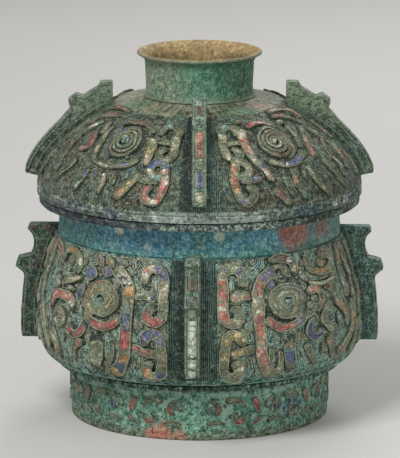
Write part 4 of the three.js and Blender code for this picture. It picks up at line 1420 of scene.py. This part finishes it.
    at_side = [
        ("side_upper", through((79.2, 3), (80.4, 14), (81, 27)), (4.6, 3), 2.1,
         "olive crust lilac crust", "crust red crust"),
        ("side_hook", through((78.6, 31), (80.8, 36), (81, 46), (79, 52)), (4.8, 3.2), 2.2,
         "amber crust red crust", "crust olive lilac"),
        ("side_lower", through((78.2, 57), (80.4, 64), (80.6, 80)), (5, 2.8), 2.1, "crust olive crust",
         "red crust olive"),
        ("side_claw", through((73.8, 58), (75.2, 65), (72.6, 73), (68.6, 79)), (5.2, 3), 2.2,
         "turquoise crust olive", "crust cream crust"),
    ]
    return both_hands(by_flange, (right, left), at_side)


def bowl_rounds():
    """Single stones of the bowl's mask: place, half width, half height, power, turn, colours right and left."""
    return [
        ((38.6, 6.6), 3.0, 5.6, 1.4, -40, None, "garnet"),
        ((34.3, 13.2), 6.0, 4.4, 1.3, 8, None, "lilac"), ((42.0, 15.8), 6.2, 5.2, 1.3, 10, None, "lapis"),
        ((33.6, 6.0), 2.8, 4.8, 1.4, -40, None, "ochre"), ((27.6, 5.4), 4.4, 3.2, 1.4, 15, None, "lilac"),
        ((45.9, 29.8), 3.4, 6.4, 1.4, 22, None, "lapis"), ((46.2, 9.0), 2.4, 3.4, 1.5, 20, None, "olive"),
        ((54.4, 11.0), 3.4, 3.6, 1.6, 20, "amber", "brown"),
        ((44.0, 17.0), 3.6, 5.8, 1.3, 36, "speckle", None),
        ((44.6, 8.6), 1.8, 3.0, 1.6, 20, "cream", None),
        ((29.4, 20.0), 3.0, 3.8, 1.8, 0, "lilac", "speckle"),
        ((47.9, 33.6), 3.0, 2.8, 2, 0, "olive", None), ((59.4, 35.6), 1.6, 2.2, 2, 0, "turquoise", None),
        ((60.2, 52.2), 2.8, 5.4, 1.7, 0, "turquoise", None), ((56.2, 51.6), 2.8, 2.6, 2, 0, None, "lilac"),
        ((19.2, 47.2), 3.0, 3.0, 2, 0, "turquoise", "crust"),
        ((52.8, 64.2), 2.2, 3.2, 2, 0, None, "turquoise"),
        ((40.6, 69.5), 1.8, 3.6, 2, 0, "turquoise", None),
        ((50.2, 69.6), 2.0, 4.0, 2, 0, "crust", None),
    ]


def lid_mask(wall):
    """The lid's mask, in the same way."""
    def arc(*places, **more):
        return curl(wall, *places, **more)
    by_flange = [
        ("scroll_upper",
         arc((15.6, 18.2), 6.2, 180, -225, 4.6)[::-1] + [(11, 25), (11, 32)] + arc((14.6, 39), 5.7, 180,
                                                                                   290, 3.2),
         6.2, 3.0, "olive crust turquoise crust cream olive olive cream brown crust olive",
         "olive turquoise crust olive olive cream crust olive crust olive"),
        ("scroll_upper_arm", [(12.6, 29.4), (20.4, 29)], 4.8, 2.8, "olive cream crust",
         "crust olive crust"),
        ("scroll_lower",
         arc((15.9, 52), 6, 120, -300)[::-1] + [(12.5, 58), (12.7, 64)] + arc((17, 69.5), 6.8, 170, 290,
                                                                              3.6),
         6.2, 3.0, "olive turquoise cream olive cream amber coral amber olive lilac crust olive",
         "olive turquoise cream lapis lapis lapis pale pale red coral cream red red"),
        ("scroll_lower_arm", through((14.6, 60.8), (18.4, 60.6), (23.6, 58.4)), 5.0, 2.8,
         "lilac lilac lilac", "crust olive crust"),
    ]
    right = [
        ("brow",
         through((23.4, 15.4), (21.6, 22), (20.9, 30), (21.6, 38), (23.6, 47), (26, 55.6), (27.8, 63)),
         (7.4, 5.6), 2.7, "pale pale coral coral pink cream cream lilac pale pale"),
        ("brow_foot", through((28, 66.4), (29.4, 72), (32.4, 80.4)), (6.6, 4), 2.5,
         "garnet garnet olive"),
        ("brow_arc", through((26.4, 14.2), (30.6, 12.2), (36, 12), (41, 14), (45.4, 19.2)), (4.8, 3.6),
         2.4, "red coral coral brown crust"),
        ("crescent", through((29, 46.4), (33, 50), (39.4, 50.4), (45, 47), (49.2, 41.6)), (4.8, 6), 2.4,
         "cream speckle lapis lapis crust"),
        ("eye_band", through((51, 18.6), (51.4, 25), (50.6, 32), (48.6, 40)), (3.2, 4.2), 2.2,
         "olive cream olive crust"),
        ("claw", through((60.6, 22), (57.8, 30), (54.6, 36.6), (53.2, 43), (53, 50)), (3.6, 5.4), 2.6,
         "olive crust coral red red"),
        ("temple", through((48.4, 2.4), (56, 1.4), (63.6, 2.6), (69.4, 8), (71.8, 16.4)), (4.6, 3.6),
         2.3, "garnet brown garnet crust amber red"),
        ("temple_inner", through((47.8, 7.4), (54.6, 7.8), (59.8, 11.6), (63.4, 18)), (5.2, 3.4), 2.3,
         "garnet red brown crust"),
        ("temple_low", through((64.4, 21.6), (66.2, 28), (66.8, 35)), (3.6, 3), 2.2,
         "crust lilac amber"),
        ("rib_a", through((38.4, 53), (37.4, 60), (37.6, 67), (40, 77.6)), (5.4, 3.6), 2.2,
         "crust coral crust turquoise"),
        ("rib_b", through((45.8, 54.4), (46.2, 62), (48, 70), (51.6, 79)), (5.6, 3.4), 2.2,
         "turquoise crust olive crust"),
        ("rib_c", through((56.4, 51.6), (57.4, 60), (60.4, 70), (63.4, 77)), (4.8, 3.2), 2.2,
         "olive crust crust"),
        ("rib_d", through((33, 58.4), (33.2, 66), (34.6, 75)), (3.2, 2.4), 2.0, "turquoise crust"),
        ("side_red", through((71.4, 40), (70.9, 48), (70.5, 56), (69.9, 66)), (4.2, 5), 2.3,
         "crust red red garnet"),
        ("side_line", through((68, 36.4), (64.8, 46), (64.2, 56), (65, 70)), (2.4, 3.4), 2.0,
         "olive crust cream crust"),
    ]
    left = [
        ("brow", through((23.4, 23.4), (21.9, 30), (21.4, 37), (21.9, 43.6), (22.4, 48.6)), (5.8, 6.6),
         2.7, "cream ochre ochre pale"),
        ("brow_foot", through((22.6, 54.4), (24.6, 60.6), (27.2, 67.6), (30.8, 75.4)), (5.6, 6.8), 2.5,
         "olive ochre ochre pink"),
        ("brow_arc", through((48, 18.6), (43.4, 13.4), (36, 11.4), (28.4, 13.6), (22.8, 20)), (3.6, 4.8),
         2.4, "lapis brown red garnet brown"),
        ("eye_band", through((51.4, 17.6), (50.2, 29), (48.2, 41), (46.4, 51)), (3.4, 4.4), 2.3,
         "olive cream brown cream olive"),
        ("eye_band_outer", through((56.4, 14), (54.8, 22), (52.8, 29)), (3, 4), 2.2,
         "brown cream olive"),
        ("crescent", through((46.6, 49.4), (41.8, 52), (35.6, 52.8), (29.4, 49.6), (25.6, 43.6)),
         (3.6, 5), 2.4, "olive cream crust lilac crust"),
        ("claw", through((59.4, 24.4), (56, 32), (54.8, 38.4), (56.8, 43.2), (60.6, 42.6)), (4.2, 6),
         2.7, "garnet red red red garnet"),
        ("temple", through((50.2, 2), (58, 1.6), (66, 2), (73.6, 5), (76.8, 11)), (4.2, 3.4), 2.3,
         "garnet brown red crust brown"),
        ("temple_inner", through((54.6, 7), (64.6, 10.4), (72.4, 17), (75.6, 26)), (4.8, 3.4), 2.3,
         "garnet red brown crust brown"),
        ("temple_low", through((61.6, 15.6), (65.2, 23.6), (68, 34)), (3.4, 4.2), 2.2,
         "turquoise pale crust"),
        ("side_line", through((68.2, 38.6), (66.8, 46), (65.6, 54)), (3.4, 2.6), 2.0, "red crust brown"),
        ("rib_a", through((38.8, 57.6), (37.2, 65), (37.6, 74)), (4.6, 3.8), 2.2, "pale cream cream"),
        ("rib_b", through((46.6, 57), (46.6, 64), (49.6, 74)), (5.4, 3.6), 2.2, "lilac crust turquoise"),
        ("rib_c", through((56, 52), (58, 60), (62, 70)), (5, 3.4), 2.2, "turquoise crust crust"),
        ("rib_d", through((32.4, 59), (32.8, 66)), (3, 2.4), 2.0, "crust turquoise"),
    ]
    at_side = [
        ("side_upper", through((76.6, 20), (78.2, 30), (78.6, 42)), (4.6, 3), 2.1,
         "crust olive red crust", "olive crust cream"),
        ("side_lower", through((76, 50), (77.8, 58), (77.2, 73)), (4.8, 2.8), 2.1, "olive lilac crust",
         "red crust olive"),
    ]
    return both_hands(by_flange, (right, left), at_side)


def lid_rounds():
    return [
        ((50.4, 14.4), 2.4, 3.6, 1.5, 50, "speckle", None),
        ((45.2, 20.6), 2.0, 4.2, 1.5, 20, None, "lapis"),
        ((23.4, 8.6), 3.4, 2.2, 1.6, 0, "olive", "crust"), ((19.8, 47.4), 1.8, 2.0, 2, 0, "olive", "cream"),
        ((66.2, 18.6), 2.0, 2.6, 2, 0, "lilac", None), ((31.0, 43.2), 1.6, 1.4, 2, 0, None, "pale"),
        ((22, 72.6), 2.0, 2.2, 2, 0, "crust", "lapis"), ((64.8, 62), 2.0, 3.4, 2, 0, "turquoise", "crust"),
        ((42.0, 60.5), 1.8, 3.0, 2, 0, "turquoise", "lapis"),
    ]


def foot_frieze(wall):
    """Low scrolls and strokes round one quarter of the foot."""
    def arc(*places, **more):
        return curl(wall, *places, **more)
    rows = []
    for k, (first, second, third) in enumerate((("red", "crust red", "red"), ("lapis", "crust", "red red"),
                                                 ("red crust", "lapis", "turquoise"))):
        a = 4 + 28.5 * k
        rows += [
            (arc((a + 4.6, 14.5), 4.6, 200, -290, 3.0), (5.8, 4.4), 1.0, "turquoise crust " + first),
            (through((a + 9.8, 9.4), (a + 13, 8.2), (a + 16.6, 9.4), (a + 19, 13.4)), (5.6, 3.4), 0.95,
             "olive crust"),
            (arc((a + 15.6, 20.4), 4.4, 20, -280, 2.2), (5.4, 4.2), 1.0, second + " crust"),
            (through((a + 22.4, 7.4), (a + 24.2, 12.6), (a + 25, 18.6)), (6, 3.8), 0.95, third),
            (through((a + 9.8, 25.4), (a + 5.6, 24), (a + 1.4, 25.4)), (2.6, 3.8), 0.9, "crust"),
            (through((a + 20.8, 26.4), (a + 24.2, 24.6), (a + 27, 21.2)), (3.8, 2.4), 0.9, "crust red"),
        ]
    return rows


def ground_of(wall, mask, rounds, eye, bottom):
    """The ground between a mask's forms."""
    ground = Ground(wall, bottom)
    for hand in (0, 1):
        for _, path, width, *_ in mask[hand]:
            track = Track(wall, path)
            half = max(width) / 2 if isinstance(width, tuple) else width / 2
            for degrees, down in zip(*track.at(np.arange(0, track.length, GROUND_STEP))[:2]):
                ground.clear(hand, degrees, down, half)
        for centre, wide, tall, _, _, *colours in rounds:
            if colours[hand]:
                ground.clear(hand, *centre, (wide + tall) / 2 - 0.3)
        ground.clear(hand, *eye[0], eye[1])
    return ground


def dress_wall(owner, body, wall, mask, rounds, eye, rise):
    """Both sides of the front and back masks: their bands and the stones in them."""
    for facing, angle in (("front", 0), ("back", 180)):
        for hand, side in (("right", 1), ("left", -1)):
            rng = random.Random(f"{owner}{facing}{hand}")
            place = Quarter(wall, angle, side)
            pick = 0 if (side > 0) == (facing == "front") else 1
            bronze = Relief()
            groups = {"scroll_upper": Relief(), "scroll_lower": Relief(), "inlay": Relief()}
            for name, path, width, height, colours in mask[pick]:
                group = next((groups[key] for key in groups if name.startswith(key)), groups["inlay"])
                lay_band(bronze, group, place, path, width, height * rise, colours, rng)
            for centre, wide, tall, power, spin, *colours in rounds:
                if colours[pick]:
                    bronze.dome(place, centre, wide, tall, ROUND_RIM, "bronze", rng.random(), power, spin,
                                crown=0.2)
                    groups["inlay"].dome(place, centre, wide - BORDER_OF_ROUND, tall - BORDER_OF_ROUND,
                                         ROUND_TOP,
                                         colours[pick], rng.random(), power, spin)
            centre, radius, stretch, *colours = eye
            lay_eye(bronze, groups["inlay"], place, centre, radius, EYE_HEIGHT * rise, colours[pick], rng,
                    stretch)
            tag = f"{facing}_{hand}"
            bronze.build(f"{owner}_bands_{tag}", {"bronze": FINISH[f"{owner}_bands"]}, body, "bronze",
                         wear=1)
            for key, group in groups.items():
                piece = group.build(f"{owner}_{key}_stones_{tag}", FINISH, body, "scroll_mosaic", wear=1)
                if key != "inlay":
                    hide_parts(f"{owner}_scroll_{tag}_{key[7:]}")


def dress_foot():
    bronze, stones = Relief(), Relief()
    rng = random.Random("foot")
    for angle in (0, 180):
        for side in (1, -1):
            place = Quarter(FOOT_LINE, angle, side)
            for path, width, height, colours in foot_frieze(FOOT_LINE):
                lay_band(bronze, stones, place, path, width, height, colours, rng)
    bronze.build("foot_frieze", {"bronze": FINISH["foot_bands"]}, "vessel", "bronze")
    stones.build("foot_frieze_stones", FINISH, "vessel", "scroll_mosaic")


noise.seed_set(UNEVEN_SEED)
place_camera()
bpy.ops.mesh.primitive_plane_add(size=FLOOR_SIZE)
floor = bpy.context.object
floor.name = "floor"
paper = Finish("floor_paper")
paper_tone = paper.noise(400, 2, 0.5)
floor.data.materials.append(paper.made(paper.mix(paper_tone, tint(203, 202, 198), tint(207, 206, 202)), 0.9,
                                       0.0))
world_light(ROOM_LIGHT, ROOM_SEEN)
lamp("key_lamp", azimuth=-31, elevation=48, distance=1.9, size=0.8, level=0.72)
lamp("fill_lamp", azimuth=52, elevation=24, distance=2.4, size=1.2, level=0.20)
lamp("back_lamp", azimuth=165, elevation=40, distance=2.2, size=1.2, level=0.40)

FINISH = {
    "bowl": metal_patina("bowl_patina", tint(58, 100, 90), tint(76, 118, 108), patches=bowl_patches,
                         lines=(tint(158, 198, 184), tint(32, 56, 48), tint(164, 168, 142), BOWL_STRIP)),
    "lid": metal_patina("lid_patina", tint(40, 64, 53), tint(58, 80, 64), tint(140, 158, 134),
                        patches=lid_patches,
                        lines=(tint(110, 132, 112), tint(14, 26, 21), tint(110, 106, 82), LID_STRIP)),
    "crown": metal_patina("crown_patina", tint(62, 128, 98), tint(88, 138, 112), tint(168, 192, 164),
                          tint(30, 54, 42),
                          patches=crown_patches, fine=0.7, amount=0.42),
    "foot": metal_patina("foot_patina", tint(84, 148, 124), tint(116, 172, 148), patches=foot_patches,
                         depth=0.5),
    "inside": inside_patina("inside_earth", tint(134, 120, 90), tint(98, 108, 84), tint(196, 180, 142),
                            tint(66, 58, 42)),
    "cup": inside_patina("cup_earth", tint(160, 136, 92), tint(128, 116, 82), tint(212, 192, 150),
                         tint(96, 80, 56)),
    "bowl_bands": relief_patina("bowl_band_patina", tint(38, 54, 46), tint(92, 104, 86),
                                tint(134, 134, 108),
                                (tint(214, 206, 166), tint(170, 194, 168))),
    "lid_bands": relief_patina("lid_band_patina", tint(26, 38, 30), tint(58, 68, 52), tint(88, 88, 66),
                               (tint(166, 162, 126), tint(132, 152, 126))),
    "foot_bands": relief_patina("foot_band_patina", tint(30, 56, 50), tint(84, 124, 110),
                                tint(126, 150, 130)),
    "flange_lines": relief_patina("flange_line_patina", tint(30, 48, 38), tint(58, 82, 64),
                                  tint(84, 100, 80),
                                  (tint(116, 130, 104), tint(96, 122, 100))),
    "flange_rims": relief_patina("flange_rim_patina", tint(40, 60, 50), tint(88, 106, 90),
                                 tint(112, 126, 106),
                                 (tint(158, 164, 138), tint(138, 160, 140))),
    "coral": stone("coral", tint(184, 90, 76), tint(128, 56, 50), tint(212, 150, 130), tint(144, 130, 98)),
    "coral_edge": stone("coral_edge", tint(150, 64, 50), tint(88, 34, 30), tint(206, 140, 118),
                        stain=0.15, rough=0.4, chip=5, spread=0.8),
    "red": stone("red_stone", tint(174, 68, 70), tint(120, 40, 44), tint(206, 122, 116), tint(128, 98, 80)),
    "pink": stone("pink_stone", tint(186, 118, 102), tint(136, 76, 68), tint(216, 176, 156),
                  tint(132, 126, 100)),
    "pale": stone("pale_stone", tint(198, 186, 164), tint(150, 128, 108), tint(230, 226, 212),
                  tint(186, 120, 102)),
    "cream": stone("cream_stone", tint(176, 166, 130), tint(118, 112, 84), tint(220, 212, 184),
                   tint(110, 124, 104)),
    "lapis": stone("lapis", tint(36, 50, 120), tint(18, 26, 74), tint(82, 96, 150), tint(62, 86, 96),
                   stain=0.35),
    "lapis_edge": stone("lapis_edge", tint(20, 32, 84), tint(8, 14, 46), tint(84, 98, 140),
                        stain=0.1, rough=0.4, chip=5, spread=0.7),
    "lilac": stone("lilac_stone", tint(90, 86, 132), tint(52, 54, 92), tint(148, 142, 172),
                   tint(114, 114, 96)),
    "ochre": stone("ochre_stone", tint(170, 148, 88), tint(112, 98, 58), tint(210, 192, 138),
                   tint(98, 106, 78)),
    "amber": stone("amber_stone", tint(182, 124, 66), tint(122, 76, 38), tint(212, 166, 108),
                   tint(112, 98, 70)),
    "turquoise": stone("turquoise", tint(92, 138, 130), tint(48, 86, 80), tint(160, 192, 180),
                       tint(110, 122, 100)),
    "garnet": stone("garnet", tint(116, 56, 48), tint(60, 30, 32), tint(158, 102, 90), tint(92, 84, 66)),
    "garnet_edge": stone("garnet_edge", tint(80, 36, 36), tint(28, 30, 62), tint(120, 82, 78),
                         stain=0.3, rough=0.4, chip=5, spread=0.6),
    "brown": stone("brown_stone", tint(116, 98, 70), tint(70, 58, 42), tint(160, 142, 110),
                   tint(80, 96, 76)),
    "olive": stone("olive_stone", tint(124, 122, 88), tint(78, 80, 58), tint(172, 168, 130),
                   tint(90, 112, 94)),
    "speckle": stone("speckled_stone", tint(148, 144, 130), tint(34, 34, 34), tint(232, 228, 216),
                     stain=0.2, rough=0.45, chip=2.0),
    "crust": stone("crusted_bed", tint(88, 106, 82), tint(50, 66, 52), tint(140, 146, 114),
                   tint(116, 108, 80), stain=0.5, rough=0.7),
    "jade": stone("jade", tint(212, 222, 204), tint(164, 186, 166), tint(238, 243, 233),
                  stain=0.15, rough=0.35, chip=7, spread=0.4),
    "violet_edge": stone("violet_edge", tint(78, 66, 84), tint(44, 40, 66), tint(128, 100, 98),
                         stain=0.3, rough=0.4, chip=4, spread=0.8),
    "sea_edge": stone("sea_edge", tint(128, 152, 130), tint(84, 112, 92), tint(176, 196, 176),
                      stain=0.3, rough=0.4, chip=6, spread=0.6),
    "moss_edge": stone("moss_edge", tint(96, 112, 70), tint(60, 80, 52), tint(150, 150, 104),
                       stain=0.3, rough=0.45, chip=3, spread=0.8),
    "shell": stone("shell", tint(196, 190, 158), tint(140, 140, 112), tint(226, 220, 196),
                   stain=0.3, rough=0.4, chip=6, spread=0.5),
}

BOWL_EYE = ((34.9, 32.6), 16.4, 0.86, "lilac olive brown olive cream turquoise",
            "red brown cream olive ochre turquoise")
LID_EYE = ((36.5, 31.5), 15.0, 1.1, "brown olive garnet olive brown cream",
           "lapis olive brown cream olive turquoise")
BOWL_MASK = bowl_mask(BOWL_LINE)
LID_MASK = lid_mask(LID_LINE)
BOWL_GROUND = ground_of(BOWL_LINE, BOWL_MASK, bowl_rounds(), BOWL_EYE, BOWL_GROUND_END)
LID_GROUND = ground_of(LID_LINE, LID_MASK, lid_rounds(), LID_EYE, LID_GROUND_END)

turned("bowl", bowl_outline(), CASTING_STEPS, "vessel", [FINISH["bowl"], FINISH["inside"]],
       lambda r, z, out, up: z > FLOOR_LEVEL - 1 and (out < -0.25 or (up > 0.5 and r < MOUTH_RADIUS)),
       BOWL_GROUND)
turned("foot_ring", foot_outline(), FOOT_STEPS, "vessel", [FINISH["foot"], FINISH["inside"]],
       lambda r, z, out, up: out < -0.25)
turned("lid", lid_outline(), CASTING_STEPS, "cover", [FINISH["lid"], FINISH["inside"]],
       lambda r, z, out, up: (out < -0.25 or up < -0.3) and r < SPIGOT_RADIUS - 1, LID_GROUND)
turned("lid_crown", crown_outline(), CROWN_STEPS, "cover", [FINISH["crown"], FINISH["cup"]],
       lambda r, z, out, up: out < -0.1 or (up > 0.75 and z > CROWN_TOP - 3))

GREY_FLANGE = flange_patina("grey_flange", tint(52, 74, 60), tint(44, 56, 48), tint(140, 158, 134),
                            tint(84, 70, 76),
                            tint(116, 134, 112))
PATCHED_FLANGE = flange_patina("patched_flange", tint(58, 82, 64), tint(36, 68, 54), tint(140, 156, 130),
                               tint(58, 64, 104),
                               tint(120, 140, 108))
FRONT_FLANGE = flange_patina("front_flange", tint(88, 116, 100), tint(114, 138, 118), tint(176, 196, 172),
                             tint(70, 64, 52))
BLUE_FLANGE = flange_patina("blue_flange", tint(52, 92, 84), tint(70, 100, 86), tint(156, 188, 174),
                            tint(54, 78, 112))
MALACHITE_FLANGE = flange_patina("malachite_flange", tint(26, 62, 42), tint(36, 50, 42),
                                 tint(120, 146, 124),
                                 tint(120, 60, 58))
dress_flanges("bowl", "vessel", bowl_flange_spot, BOWL_EDGE, BOWL_FLANGE, BOWL_STONES,
              [FRONT_FLANGE, BLUE_FLANGE, FRONT_FLANGE, MALACHITE_FLANGE])
dress_flanges("lid", "cover", lid_flange_spot, LID_EDGE, LID_FLANGE, LID_STONES,
              [FRONT_FLANGE, PATCHED_FLANGE, FRONT_FLANGE, GREY_FLANGE])

dress_wall("bowl", "vessel", BOWL_LINE, BOWL_MASK, bowl_rounds(), BOWL_EYE, BOWL_RISE)
dress_wall("lid", "cover", LID_LINE, LID_MASK, lid_rounds(), LID_EYE, LID_RISE)
dress_foot()

bpy.context.scene.view_settings.view_transform = "Standard"
